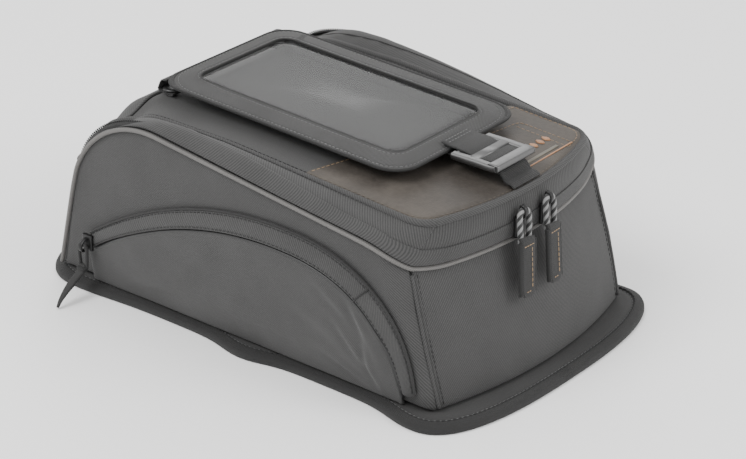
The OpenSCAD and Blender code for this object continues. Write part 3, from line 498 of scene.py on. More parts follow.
def stitch_row(name, path, material, body, slot, gap=3.2, length=2.3, width=0.55):
    """A row of stitches lying on a path, made as one piece."""
    spots = resample(path, gap)
    points, faces = [], []
    shape = ((-1, 0.35), (-0.75, 0.9), (0, 1.15), (0.75, 0.9), (1, 0.35))
    for i in range(len(spots) - 1):
        centre, t = (spots[i] + spots[i + 1]) / 2, unit(spots[i + 1] - spots[i])
        s = unit(np.cross(t, vec(0, 0, 1) if abs(t[2]) < 0.8 else vec(1, 0, 0)))
        n = np.cross(t, s)
        base = len(points)
        for along, fat in shape:
            for k in range(6):
                out = (s * cd(60 * k) + n * sd(60 * k)) * fat * width / 2
                points.append(centre + t * along * length / 2 + out)
        for r in range(4):
            for k in range(6):
                a, b = base + r * 6 + k, base + r * 6 + (k + 1) % 6
                faces.append([a, b, b + 6, a + 6])
        faces += [[base + k for k in range(5, -1, -1)], [base + 24 + k for k in range(6)]]
    return place(new_piece(name, points, faces, [material]), body, slot)


def sewn(name, path, body="body", slot="woven_fabric", length=2.3):
    """A row of the black stitches that hold the bag's seams."""
    return stitch_row(name, path, "black_thread", body, slot, 3.2, length, 0.5)


def boxes(name, spots, size, material, body, slot):
    """Small blocks with cut corners, such as zip teeth: spots are (centre, along, across, up)."""
    points, faces = [], []
    hx, hy, hz = (d / 2 for d in size)
    c = 0.3
    ring = [(hx, -hy * c), (hx, hy * c), (hx * c, hy), (-hx * c, hy), (-hx, hy * c), (-hx, -hy * c),
            (-hx * c, -hy), (hx * c, -hy)]
    for centre, along, across, up in spots:
        base = len(points)
        for z, f in ((-hz, 1.0), (hz * 0.4, 1.0), (hz, 0.7)):
            points += [centre + along * a * f + across * b * f + up * z for a, b in ring]
        for r in range(2):
            for k in range(8):
                a, b = base + r * 8 + k, base + r * 8 + (k + 1) % 8
                faces.append([a, b, b + 8, a + 8])
        faces += [[base + k for k in range(7, -1, -1)], [base + 16 + k for k in range(8)]]
    return place(new_piece(name, points, faces, [material]), body, slot)


# ================= The bag's surfaces, in mm, as the CAD part has them =================
FLANGE_LEN, FLANGE_W, BASE_Z, BINDING_W, GRIP_T = 360, 205, 6, 3, 1.5
BASE_W, SHOULDER_W, SIDE_MID_H, SIDE_FALL, REAR_ZIP_H = 192, 200, 117.3, 6.75, 89
FRONT_LEAN, REAR_LEAN_IN, SHOULDER_R, FRONT_EDGE_R, CORNER_R, FOOT_CORNER_R = 16, 20, 67, 30, 18, 8
REAR_BOW_R, REAR_BOW_BASE_R, FRONT_BOW, WALL_BOW, WALL_T = 230, 300, 8, 2, 3
GAP = 0.3
LID_W, LID_H, LID_FALL, LID_FALL_Y, LID_CORNER_R, HINGE_H = 162, 124.5, 3.1, 20, 16, 80
LID_T, SIDE_PUFF, REAR_PUFF, TAPE_W, TAPE_T = 2.5, 7, 2.5, 2.6, 1.5
FACE_H, FLAP_W, PEAK_Y, ARCH_REAR, ARCH_FALL, POCKET_DEPTH, FACE_T = 83.5, 12, -36, 92, 0.0022, 9, 2
PHONE_W, PHONE_L, PHONE_Y, WINDOW_H, PHONE_PITCH = 120, 193, 2.5, 134.6, 2.14
WINDOW_W, WINDOW_L, PHONE_GAP, PHONE_R = 84, 161, 7.6, 18
WEB_W, WEB_T, BUCKLE_W, BUCKLE_L, BAR_D, PULL_W, PULL_L = 26, 1.6, 38, 34, 3, 12, 50
# Shares of the way from the front corner to the middle of the rear
ARC_END, SIDE_END, CORNER_END, REAR_SEAM = 0.15, 0.55, 0.70, 0.70

FOOT_Z = BASE_Z + WALL_T * sd(FRONT_LEAN) + 0.1
FRONT_Y = FLANGE_LEN / 2 - 26
REAR_BASE_Y = -(FLANGE_LEN / 2 - 17)
REAR_TOP_Y = REAR_BASE_Y + REAR_LEAN_IN
LID_REAR_Y = REAR_TOP_Y + 1
RAIL_Y = REAR_TOP_Y + REAR_BOW_R
FRONT_SEAM_Y = FRONT_Y - 48
ARCH_FRONT_Y = 124
TOP_W, FOOT_W = SHOULDER_W / 2, BASE_W / 2
TINY = 0.004
CLOTH = ["woven_fabric", "lining"]


# How far the lid's soft front corners have sunk, where that starts and over what length it grows
CORNER_SINK, CORNER_X, CORNER_REACH, CORNER_Y, CORNER_LEN, CORNER_Z = 8, 56, 26, 62, 50, 84


def lobe(y, at, out, reach):
    return out * math.exp(-((y - at) / reach) ** 2)


REAR_LOBE_Y, FRONT_LOBE_Y = -FLANGE_LEN / 2 + 39, FLANGE_LEN / 2 - 51


def flange_half(y):
    lobes = ((-9, 6.5, 22), (REAR_LOBE_Y, 7.5, 24), (FRONT_LOBE_Y, 3.5, 34))
    return FLANGE_W / 2 + sum(lobe(y, *spot) for spot in lobes)


def flange_end(a, y0, depth, n, inset):
    w = flange_half(y0) - inset
    reach = math.copysign(abs(depth) - inset, depth)
    return w * max(0, cd(a)) ** (2 / n), y0 + reach * max(0, sd(a)) ** (2 / n)


def flange_outline(inset, fine=3):
    """The flange's edge, counter-clockwise seen from above, as (x, y)."""
    right = [flange_end(a, REAR_LOBE_Y, -39, 2.6, inset) for a in steps(90, 9 / fine, 10 * fine - 1)]
    right += [(flange_half(y) - inset, y) for y in steps(REAR_LOBE_Y, FRONT_LOBE_Y, 22 * fine)]
    right += [flange_end(a, FRONT_LOBE_Y, 51, 3, inset) for a in steps(9 / fine, 90, 10 * fine - 1)]
    return right + [(-x, y) for x, y in right[-2:0:-1]]


def knee(h, fall, r):
    tl, ts = td(FRONT_LEAN), td(fall)
    y = (FRONT_Y - tl * (h - BASE_Z)) / (1 + tl * ts)
    t = r / td((90 + FRONT_LEAN - fall) / 2)
    return y - t * cd(fall) + r * sd(fall), h + ts * y - t * sd(fall) - r * cd(fall)


def knee_pt(h, fall, r, a):
    c, g = knee(h, fall, r), mix(FRONT_LEAN, 90 + fall, a)
    return c[0] + r * cd(g), c[1] + r * sd(g)


def profile_z(h, fall, r, y):
    c = knee(h, fall, r)
    if y < c[0] - r * sd(fall):
        return h + td(fall) * y
    return c[1] + math.sqrt(max(0, r * r - (y - c[0]) ** 2))


def side_z(y):
    return profile_z(SIDE_MID_H, SIDE_FALL, SHOULDER_R, y)


def corner_y(w, rc, rr, yr):
    return yr + rr - math.sqrt((rr - rc) ** 2 - (w - rc) ** 2)


def rear_plan(k, w, rc, rr, yr):
    kc = (CORNER_END - SIDE_END) / (1 - SIDE_END)
    beta = math.degrees(math.asin((w - rc) / (rr - rc)))
    yc = corner_y(w, rc, rr, yr)
    if k < kc:
        a = (90 - beta) * k / kc
        return w - rc + rc * cd(a), yc - rc * sd(a)
    a = beta * (1 - k) / (1 - kc)
    return rr * sd(a), yr + rr - rr * cd(a)


TOP_CORNER_Y = corner_y(TOP_W, CORNER_R, REAR_BOW_R, REAR_TOP_Y)
FOOT_CORNER_Y = corner_y(FOOT_W, FOOT_CORNER_R, REAR_BOW_BASE_R, REAR_BASE_Y)
LID_CORNER_Y = corner_y(LID_W / 2, LID_CORNER_R, REAR_BOW_R, LID_REAR_Y)
LINE_START_Y = knee_pt(SIDE_MID_H, SIDE_FALL, SHOULDER_R, 1)[0]


def zip_pt(s):
    def height(y):
        return mix(side_z(y), REAR_ZIP_H, ease((s - SIDE_END + 0.03) / (CORNER_END - SIDE_END + 0.11)))
    if s < ARC_END:
        return vec(TOP_W, *knee_pt(SIDE_MID_H, SIDE_FALL, SHOULDER_R, s / ARC_END))
    if s < SIDE_END:
        y = mix(LINE_START_Y, TOP_CORNER_Y, (s - ARC_END) / (SIDE_END - ARC_END))
        return vec(TOP_W, y, height(y))
    p = rear_plan((s - SIDE_END) / (1 - SIDE_END), TOP_W, CORNER_R, REAR_BOW_R, REAR_TOP_Y)
    return vec(*p, height(TOP_CORNER_Y))


def foot_pt(s):
    if s < SIDE_END:
        return vec(FOOT_W, mix(FRONT_Y, FOOT_CORNER_Y, s / SIDE_END), FOOT_Z)
    p = rear_plan((s - SIDE_END) / (1 - SIDE_END), FOOT_W, FOOT_CORNER_R, REAR_BOW_BASE_R, REAR_BASE_Y)
    return vec(*p, FOOT_Z)


def bulge_way(s):
    a = 90 * ease((s - SIDE_END) / (1 - SIDE_END))
    return vec(cd(a), -sd(a), 0)


def both_sides(f):
    """A surface of s from 0 to 1 carried on round the rear to 2 on the other side."""
    def whole(s, v):
        return f(s, v) if s < 1 else f(2 - s, v) * vec(-1, 1, 1)
    return whole


@both_sides
def wall_pt(s, v):
    return mix(foot_pt(s), zip_pt(s), v) + bulge_way(s) * WALL_BOW * sd(180 * v) * ease(s / ARC_END)


def wall_x(z):
    v = clamp((z - BASE_Z) / (SIDE_MID_H - BASE_Z))
    return mix(FOOT_W, TOP_W, v) + WALL_BOW * sd(180 * v)


def lid_z(y):
    return profile_z(LID_H, 0, FRONT_EDGE_R, y) - td(LID_FALL) * max(0, LID_FALL_Y - y)


def front_share(x):
    return ease((abs(x) - LID_W / 2) / (TOP_W - LID_W / 2))


def front_pt(x, v):
    q, k = front_share(x), 0.6
    h, fall, r = mix(LID_H, SIDE_MID_H, q), mix(0, SIDE_FALL, q), mix(FRONT_EDGE_R, SHOULDER_R, q)
    c = knee(h, fall, r)
    low, mid = (FRONT_Y - td(FRONT_LEAN) * (FOOT_Z - BASE_Z), FOOT_Z), knee_pt(h, fall, r, 0)
    bow = FRONT_BOW * (1 - (x / TOP_W) ** 2) * sd(180 * v)
    if v < k:
        y, z = mix(low[0], mid[0], v / k), mix(low[1], mid[1], v / k)
    else:
        g = mix(FRONT_LEAN, math.degrees(math.acos((FRONT_SEAM_Y - c[0]) / r)), (v - k) / (1 - k))
        y, z = c[0] + r * cd(g), c[1] + r * sd(g)
    room = WALL_T + 1
    return vec(x * mix((FOOT_W - room) / (TOP_W - room), 1, clamp(v / k)), y + bow, z)


def hinge_v(x):
    q = front_share(x)
    mid = knee_pt(mix(LID_H, SIDE_MID_H, q), mix(0, SIDE_FALL, q), mix(FRONT_EDGE_R, SHOULDER_R, q), 0)
    return 0.6 * (HINGE_H - FOOT_Z) / (mid[1] - FOOT_Z)


SEAM_TURN = math.degrees(math.acos((FRONT_SEAM_Y - knee(SIDE_MID_H, SIDE_FALL, SHOULDER_R)[0]) / SHOULDER_R))
SEAM_S = ARC_END * (SEAM_TURN - FRONT_LEAN) / (90 + SIDE_FALL - FRONT_LEAN)


def seam_pt(s):
    if s < SEAM_S:
        return front_pt(LID_W / 2, mix(hinge_v(LID_W / 2), 1, max(0, s) / SEAM_S))
    if s < SIDE_END:
        y = zip_pt(s)[1] + (LID_CORNER_Y - TOP_CORNER_Y) * ease((s - 0.3) / 0.25)
        return vec(LID_W / 2, y, lid_z(y))
    p = rear_plan((s - SIDE_END) / (1 - SIDE_END), LID_W / 2, LID_CORNER_R, REAR_BOW_R, LID_REAR_Y)
    return vec(*p, lid_z(p[1]))


def band_way(s):
    g, tilt = mix(FRONT_LEAN, 90 + SIDE_FALL, clamp(s / ARC_END)), 20
    return unit(mix(vec(sd(tilt), cd(tilt) * cd(g), cd(tilt) * sd(g)), bulge_way(s),
                    ease((s - ARC_END) / (CORNER_END - ARC_END))))


@both_sides
def band_pt(s, b):
    swell = mix(mix(2.2, SIDE_PUFF, ease((s - 0.08) / 0.12)), REAR_PUFF, ease((s - 0.28) / 0.3))
    return mix(zip_pt(s), seam_pt(s), b) + band_way(s) * swell * sd(180 * b)


def band_len(s):
    q = s if s < 1 else 2 - s
    return np.linalg.norm(seam_pt(q) - zip_pt(q))


def normal_at(f, u, v):
    return unit(np.cross(f(u, v + TINY) - f(u, v - TINY), f(u + TINY, v) - f(u - TINY, v)))


def edge_room(s):
    """How far from the zip line the tape starts, beside the wall's top edge."""
    q = max(s if s < 1 else 2 - s, TINY)
    way, rise = unit(band_pt(q, 0.02) - zip_pt(q)), unit(wall_pt(q, 1) - wall_pt(q, 0.98))
    face, up = normal_at(wall_pt, q, 1 - TINY), normal_at(band_pt, q, 0.03)
    past = WALL_T / max(0.05, -np.dot(way, face))
    over = TAPE_T * max(0, np.dot(up, rise)) / max(0.05, np.dot(way, rise))
    turned = WALL_T * math.sqrt(max(0, 1 - np.dot(band_way(q), face) ** 2))
    return GAP + 0.1 + max(turned, min(past, over))


def belt(s, mm):
    return band_pt(s, (edge_room(s) + mm) / band_len(s))


def arch_pt(t, peak, rear_len, front_end):
    k = 0.6
    if t < k:
        y = mix(front_end, PEAK_Y, t / k)
        return y, peak - ARCH_FALL * (y - PEAK_Y) ** 2
    a = 90 * (t - k) / (1 - k)
    return (PEAK_Y - rear_len * sd(a) ** (2 / 2.4),
            BASE_Z + 1 + (peak - BASE_Z - 1) * max(0, cd(a)) ** (2 / 2.4))


def inner_arch(t):
    return arch_pt(t, FACE_H, ARCH_REAR, ARCH_FRONT_Y)


def outer_arch(t):
    return arch_pt(t, FACE_H + FLAP_W, ARCH_REAR + FLAP_W * 0.8, ARCH_FRONT_Y + 1)


def pocket_out(y, z):
    lift, back = ease((z - BASE_Z) / 26), ease((ARCH_FRONT_Y - y) / 55)
    tail = ease((y - PEAK_Y + ARCH_REAR) / 16)
    return 2.6 + (POCKET_DEPTH - 2.6) * lift * (back * 0.9 + 0.1) * mix(0.45, 1, tail) + 0.6 * (1 - back)


FACE_FOOT = BASE_Z + GAP


def face_pt(t, v):
    y, top = inner_arch(t)
    z = mix(FACE_FOOT, max(top, FACE_FOOT + 1), v)
    return vec(wall_x(z) + pocket_out(y, z), y, z)


def flap_pt(t, v):
    (yo, zo), (yi, zi) = outer_arch(t), inner_arch(t)
    zo, zi = max(zo, FACE_FOOT + 1), max(zi, FACE_FOOT + 1)
    a, b = vec(wall_x(zo) + TAPE_T + 0.5, yo, zo), vec(wall_x(zi) + pocket_out(yi, zi), yi, zi)
    return mix(b, a, v) + vec(1.2 * sd(180 * v), 0, 0)


def lay(surface, spots, lift, side=1):
    """Points lying lift above a surface at each (u, v), on one side of the bag."""
    return [(surface(u, v) + normal_at(surface, u, v) * lift) * vec(side, 1, 1) for u, v in spots]


SIDES = (("left", -1), ("right", 1))


# ================= Flange =================
def inset_ring(d, z):
    return [vec(x, y, z) for x, y in flange_outline(d)]


def make_flange():
    """A foam pad: a domed top with a pressed seam near its edge, a flat bottom on the grip sheet."""
    rows = [(BINDING_W, GRIP_T), (BINDING_W, 4.6), (3.6, 5.3), (5, 5.75), (6.6, 5.9), (7.6, 5.1), (8.6, 5.9)]
    rows.append((12, 6.0))
    rings = [inset_ring(d, z) for d, z in rows] + [inset_ring(12, GRIP_T)]
    k = len(rings[0])
    points = np.concatenate(rings)
    faces = []
    for i in range(len(rings) - 2):
        for j in range(k):
            a, b = i * k + j, i * k + (j + 1) % k
            faces.append([a, b, b + k, a + k])
    top, low = (len(rings) - 2) * k, 0
    for i in range(1, k // 2):
        a, b = i, (i + 1)
        faces.append([top + a, top + b, top + (k - b) % k, top + (k - a) % k])
        faces.append([low + b, low + a, low + (k - a) % k, low + (k - b) % k])
    for base, turn in ((top, 1), (low, -1)):
        faces.append([base, base + 1, base + k - 1][::turn])
    uvs = points[:, :2]
    pad = new_piece("flange_pad", points[:top + k], faces, ["flange_fabric"], uvs[:top + k])
    place(pad, "body", "flange_fabric", "base_pad", fill=0.4)
    section = [(-0.3, 0.3), (1.6, 0), (2.6, 0.5), (3.0, 1.6), (2.9, 3.2), (2.2, 4.6), (0.8, 5.2), (-1.0, 5.6),
               (-3.4, 6.2), (-4.0, 5.9), (-3.0, 5.4), (-0.2, 4.8)]
    edge = [vec(x, y, 0) for x, y in flange_outline(BINDING_W)]
    binding = sweep("flange_binding", edge, section, ["binding"], aside=outward(edge), closed=True)
    place(binding, "body", "binding", "base_binding")
    for tag, d, z, *rest in (("binding", 6.1, 6.35, "black_thread", "body", "binding", 3.4, 2.5, 0.6),
                             ("seam", 7.6, 5.5, "grey_thread", "body", "flange_fabric", 3.4, 2.4, 0.5)):
        stitch_row(f"flange_{tag}_stitches", close(inset_ring(d, z)), *rest)


def close(path):
    return list(path) + [path[0]]


def outward(edge):
    """Level sideways directions pointing out of a closed counter-clockwise edge."""
    ahead = np.roll(edge, -1, 0) - np.roll(edge, 1, 0)
    return [unit(vec(t[1], -t[0], 0)) for t in ahead]


make_flange()


# ================= Walls =================
def seat(p, u, v, lumps=0.5):
    """Cloth over foam: gentle unevenness; the puffs built on it pull it in at the seams."""
    return lumps * wobble(p, 42, 3.0) + lumps * 0.4 * wobble(p, 15, 7.0)


def wall_puff(p, u, v):
    edge = min(1, (1 - v) / 0.1) * min(1, v / 0.08)
    return seat(p, u, v) * edge + 1.1 * math.sqrt(max(0, edge)) - 0.9


def make_walls():
    for name, side in SIDES:
        wall = sheet(f"{name}_wall", wall_pt, steps(0, SIDE_END, 60) + steps(SIDE_END + 0.008, REAR_SEAM, 18),
                     soft_steps(0, 1, 30), WALL_T, CLOTH, side, wall_puff, 1.6)
        place(wall, "body", "woven_fabric", f"{name}_side_panel", fill=0.5)
    rear = sheet("rear_wall", wall_pt, soft_steps(REAR_SEAM, 2 - REAR_SEAM, 72), soft_steps(0, 1, 34), WALL_T,
                 CLOTH, 1, lambda p, u, v: wall_puff(p, u, v) * 1.1, 1.6)
    place(rear, "body", "woven_fabric", "rear_panel", fill=0.5)
    half = TOP_W - WALL_T - 1
    front = sheet("front_wall", lambda x, v: front_pt(x, v * hinge_v(x)), soft_steps(-half, half, 60),
                  soft_steps(0, 1, 26), WALL_T, CLOTH, 1, wall_puff, 1.6)
    place(front, "body", "woven_fabric", "front_panel", fill=0.5)


PIPING_R = 1.45


def piping_at(s, v):
    return wall_pt(s, v) + normal_at(wall_pt, max(s, TINY), v) * (PIPING_R - 0.8)


def make_piping():
    for name, side in SIDES:
        path = [piping_at(0, v) for v in steps(0.03, 0.9, 24)]
        for s in steps(0.008, 0.9985, 190):
            path.append(piping_at(s, 1 - PIPING_R / np.linalg.norm(zip_pt(s) - foot_pt(s))))
        path = [p * vec(side, 1, 1) for p in path]
        cord = sweep(f"{name}_edge_piping", path, circle(PIPING_R, 12), ["grey_piping"])
        place(cord, "body", "grey_piping", f"{name}_piping")
        seam = lay(wall_pt, [(REAR_SEAM, v) for v in steps(0.02, 0.94, 40)], 0.2, side)
        cord = sweep(f"{name}_corner_piping", seam, circle(1.1, 12), ["woven_fabric"])
        place(cord, "body", "dark_piping", "rear_seam_piping")
        for tag, s in (("side", REAR_SEAM - 0.006), ("rear", REAR_SEAM + 0.012)):
            row = lay(wall_pt, [(s, v) for v in steps(0.03, 0.95, 40)], 0.25, side)
            sewn(f"{name}_corner_stitches_{tag}", row)


make_walls()
make_piping()


# ================= Main zip =================
ZIP_HALF = steps(0.012, ARC_END, 40) + steps(ARC_END + 0.01, 1, 150)
ZIP_PATH = ZIP_HALF + [2 - s for s in ZIP_HALF[-2::-1]]


def make_zip():
    for name, body, low, high, node in (("lower", "body", -2.4, TAPE_W, "lower_zip_tape"),
                                        ("upper", "lid", GAP + TAPE_W, GAP + 2 * TAPE_W, "upper_zip_tape")):
        tape = sheet(f"{name}_tape", belt, ZIP_PATH, steps(low, high, 4), TAPE_T, ["zip_tape"], 1, None, 0.4)
        place(tape, body, "zip_tape", node)
        middle = TAPE_W + GAP / 2 + (-0.75 if name == "lower" else 0.75)
        spots = []
        line = np.array([belt(s, middle) for s in ZIP_PATH])
        run = lengths(line)
        for at in np.arange(0.2 if name == "lower" else 1.2, run[-1] - 1, 2.0):
            s = float(np.interp(at, run, ZIP_PATH))
            s0 = min(max(s, 0.016), 1.984)
            up = normal_at(belt_mm, s0, middle)
            along = unit(belt(s0 + 0.002, middle) - belt(s0 - 0.002, middle))
            spots.append((belt(s0, middle) + up * 0.25, along, np.cross(up, along), up))
        boxes(f"{name}_teeth", spots, (1.0, 1.3, 0.9), "zip_coil", body, "zip_tape")


def belt_mm(s, mm):
    return belt(s, mm)


make_zip()


# ================= Side pockets =================
# Creases in a pocket's face, pulled by its rear seam: y, z, slope in degrees, half length, half width, height
CREASES = ((-104, 58, 62, 17, 3.0, 1.5), (-97, 40, 48, 16, 2.6, 1.2), (-110, 30, 78, 14, 2.4, 1.3),
           (-84, 66, 35, 15, 3.2, 0.9), (-88, 22, 30, 14, 3.0, 1.0), (-70, 48, 22, 20, 4.5, 0.7),
           (60, 26, -18, 26, 4.0, 0.6), (20, 60, 12, 30, 6.0, 0.5))


def crease_lift(p):
    total = 0
    for y, z, slope, long, wide, high in CREASES:
        dy, dz = p[1] - y, p[2] - z
        a, b = dy * cd(slope) + dz * sd(slope), -dy * sd(slope) + dz * cd(slope)
        ridge, hollow = math.exp(-(b / wide) ** 2), math.exp(-((b + 1.9 * wide) / wide) ** 2)
        total += high * math.exp(-(a / long) ** 2) * (ridge - 0.8 * hollow)
    return total


def face_puff(p, u, v):
    edge = min(1, (1 - v) / 0.12) * min(1, v / 0.06) * min(1, (0.995 - u) / 0.04)
    return (crease_lift(p) + seat(p, u, v, 0.7)) * max(0, edge) + 0.5 * math.sqrt(max(0, edge)) - 0.5


def flap_puff(p, u, v):
    return 0.5 * sd(180 * v) + 0.35 * wobble(p, 11, 5.0) * sd(180 * v)


def make_pockets():
    for name, side in SIDES:
        pocket = f"{name}_pocket"
        us = steps(0.001, 0.6, 76) + steps(0.606, 0.995, 58)
        face = sheet(f"{pocket}_cloth", face_pt, us, soft_steps(0, 1, 36), FACE_T, CLOTH, side,
                     face_puff, 1.4)
        place(face, pocket, "woven_fabric", f"{name}_pocket_face", fill=0.4)
        us = steps(0.012, 0.6, 74) + steps(0.606, 0.985, 56)
        flap = sheet(f"{name}_flap", flap_pt, us, soft_steps(0.08, 0.98, 10), TAPE_T, CLOTH, side,
                     flap_puff, 0.9)
        place(flap, "body", "woven_fabric", f"{name}_rain_flap")
        us = steps(0.014, 0.6, 84) + steps(0.606, 0.98, 60)
        for tag, v, lift in (("low", 0.2, 0.62), ("high", 0.86, 0.45)):
            row = lay(flap_pt, [(t, v) for t in us], lift, side)
            sewn(f"{name}_flap_stitches_{tag}", row, length=2.4)
        welt = lay(flap_pt, [(t, 0.985) for t in us], 0.1, side)
        place(sweep(f"{name}_flap_welt", welt, circle(0.9, 8), ["dark_piping"]), "body", "woven_fabric")
        # The seam where the flap's rear piece is sewn on, over the arch's shoulder
        cross = lay(flap_pt, [(0.775 + 0.004 * v, v) for v in steps(0.1, 0.95, 10)], 0.5, side)
        cord = sweep(f"{name}_flap_seam_rear", cross, circle(0.55, 8), ["dark_piping"])
        place(cord, "body", "woven_fabric")
        # The pocket's zip coil along the flap's lower edge: partly the real zip, partly a painted shadow line
        # for the shade under the flap.
        coil = [p + vec(side * -1.0, 0, -0.6) for p in lay(face_pt, [(t, 1.0) for t in us], -0.2, side)]
        place(sweep(f"{name}_pocket_coil_shadow_line", coil, circle(0.95, 8), ["zip_coil"]), pocket, "zip_tape")


make_pockets()


# ================= Lid =================
def band_at(s, v):
    b0 = (edge_room(s) + 2 * GAP + 2 * TAPE_W + 0.2) / band_len(s)
    return band_pt(s, mix(b0, 1 - GAP / band_len(s), v))


def flap_at(s, v):
    """A narrow flap of the lid's cloth that covers the zip tapes down to the piping."""
    return band_pt(s, mix(1.0, edge_room(s) + 2 * GAP + 2 * TAPE_W + 3.5, v) / band_len(s))


def zip_flap_puff(p, u, v):
    return mix(2.0, 0.75, ease(v)) + 0.15 * wobble(p, 9, 4.0)


def band_puff(p, u, v):
    front = 1 - ease((min(u, 2 - u) - 0.05) / 0.3)
    folds = 0.5 * front * math.sin(u * 210) * sd(180 * v)
    return seat(p, u, v, 0.5) * sd(180 * v) + folds + 0.5 * math.sqrt(max(0, sd(180 * v))) - 0.4


# The lid's top reaches a little past the lid's outline, under the welt
TOP_INSET = -0.8


def lid_rear(x, inset):
    """Where the lid's outline, drawn in by inset, lies at the rear for an x."""
    corner_x, r, rr = LID_W / 2 - LID_CORNER_R, LID_CORNER_R - inset, REAR_BOW_R - inset
    if abs(x) > corner_x * (1 + r / (REAR_BOW_R - LID_CORNER_R)):
        return LID_CORNER_Y - math.sqrt(max(0, r * r - (abs(x) - corner_x) ** 2))
    return LID_REAR_Y + REAR_BOW_R - math.sqrt(rr * rr - x * x)


def lid_spot(v, u, inset, front):
    """A place on the lid: v across from -1 to 1, u from its rear outline to a front line."""
    x = v * (LID_W / 2 - inset)
    y = mix(lid_rear(x, inset), front(v), u)
    return vec(x, y, lid_z(y))


def roll(p, inset, reach, drop):
    """How far a skin over the lid's rounded edge falls near its outline."""
    d = min(LID_W / 2 - inset - abs(p[0]), p[1] - lid_rear(min(abs(p[0]), LID_W / 2 - inset), inset))
    return drop * max(0, 1 - max(0, d) / reach) ** 2


def lid_puff(p, u, v):
    return 0.5 * wobble(p, 38, 1.0) * min(1, (1 - abs(v)) / 0.08) - roll(p, TOP_INSET, 5, 2.0)


def make_lid():
    along = steps(0.012, ARC_END, 40) + steps(ARC_END + 0.008, REAR_SEAM, 70)
    across = steps(REAR_SEAM, 2 - REAR_SEAM, 80)
    for name, us, side in (("left", along, -1), ("right", along, 1), ("rear", across, 1)):
        band = sheet(f"lid_{name}_band", band_at, us, soft_steps(0, 1, 16), LID_T, CLOTH, side,
                     band_puff, 1.3, (name != "rear", 0, 1, 1))
        place(band, "lid", "woven_fabric", f"{name}_lid_band", fill=0.5)
    path = [s for s in ZIP_PATH if 0.014 < s < 1.986]
    flap = sheet("lid_zip_flap", flap_at, path, soft_steps(0, 1, 8), 1.0, CLOTH, 1,
                 zip_flap_puff, 0.8, (1, 1, 1, 0))
    place(flap, "lid", "woven_fabric")
    half = LID_W / 2 - GAP
    top = sheet("lid_top", lambda u, v: lid_spot(v, u, TOP_INSET, lambda _: FRONT_SEAM_Y - GAP),
                soft_steps(0, 1, 80), soft_steps(-1, 1, 64), LID_T, CLOTH, 1, lid_puff, 0.8)
    place(top, "lid", "woven_fabric", "lid_panel", fill=0.5)
    front = sheet("lid_front", lambda x, v: front_pt(x, mix(hinge_v(x) + 0.004, 1, v)),
                  soft_steps(-half, half, 48), soft_steps(0, 1, 24), LID_T, CLOTH, 1, seat, 0.0)
    place(front, "lid", "woven_fabric", "lid_front_panel", fill=0.5)
    # A raised seam runs round the lid's edge, with a row of stitches on each side of it
    path = [s for s in ZIP_PATH if 0.02 < s < 1.98]
    welt = []
    for s in path:
        out = band_way(min(s, 2 - s)) * vec(math.copysign(1, 1 - s), 1, 1)
        welt.append(band_pt(s, 1) + vec(0, 0, -0.7) + out * 0.5)
    place(sweep("lid_edge_welt", welt, circle(2.2, 12), ["woven_fabric"]), "lid", "woven_fabric")
    for tag, v in (("upper", 0.9), ("lower", 0.12)):
        row = [band_at(s, v) + normal_at(band_at, min(max(s, 0.03), 1.97), v) * 0.35 for s in path]
        sewn(f"lid_band_stitches_{tag}", row, "lid")
    for name, side in SIDES:
        x, ys = side * (LID_W / 2 - 3.4), steps(LID_CORNER_Y, FRONT_SEAM_Y - 3, 60)
        sewn(f"{name}_lid_top_stitches", [vec(x, y, lid_z(y) + 0.25) for y in ys], "lid")
    seam = [front_pt(x, 0.995) + vec(0, 0, 0.5) for x in steps(-half + 1, half - 1, 60)]
    place(sweep("lid_front_welt", seam, circle(1.2, 10), ["woven_fabric"]), "lid", "woven_fabric")


make_lid()


# ================= Leather =================
LEATHER_T, LEATHER_TOP, LEATHER_Y, LEATHER_SKEW, LEATHER_INSET = 1.3, 1.7, -55, 34, -0.6
PATCH_Y = -92


def leather_front(v):
    return LEATHER_Y - LEATHER_SKEW / 2 * v


def leather_pt(u, v):
    return lid_spot(v, u, LEATHER_INSET, leather_front)


def leather_puff(p, u, v):
    uneven = 0.3 * wobble(p, 30, 9.0) * min(1, (1 - abs(v)) / 0.05)
    return LEATHER_TOP - roll(p, LEATHER_INSET, 7, 2.4) + uneven


def leather_line(inset, lift, first=-1, last=1):
    """A line inset from the leather's edge, round the rear from first to last across the bag (-1 to 1)."""
    w = LID_W / 2 - LEATHER_INSET - inset
    start_y = leather_front(first) - 3 if first == -1 else PATCH_Y
    spots = [(first * w, y) for y in steps(start_y, LID_CORNER_Y, 16)]
    spots += [(x, lid_rear(x, LEATHER_INSET + inset)) for x in soft_steps(first * w, last * w, 90)]
    if last == 1:
        spots += [(w, y) for y in steps(LID_CORNER_Y, leather_front(1) - 3, 12)]
    out = []
    for x, y in spots:
        p = vec(x, y, lid_z(y))
        out.append(p + vec(0, 0, LEATHER_TOP + lift - roll(p, LEATHER_INSET, 7, 2.4)))
    return out


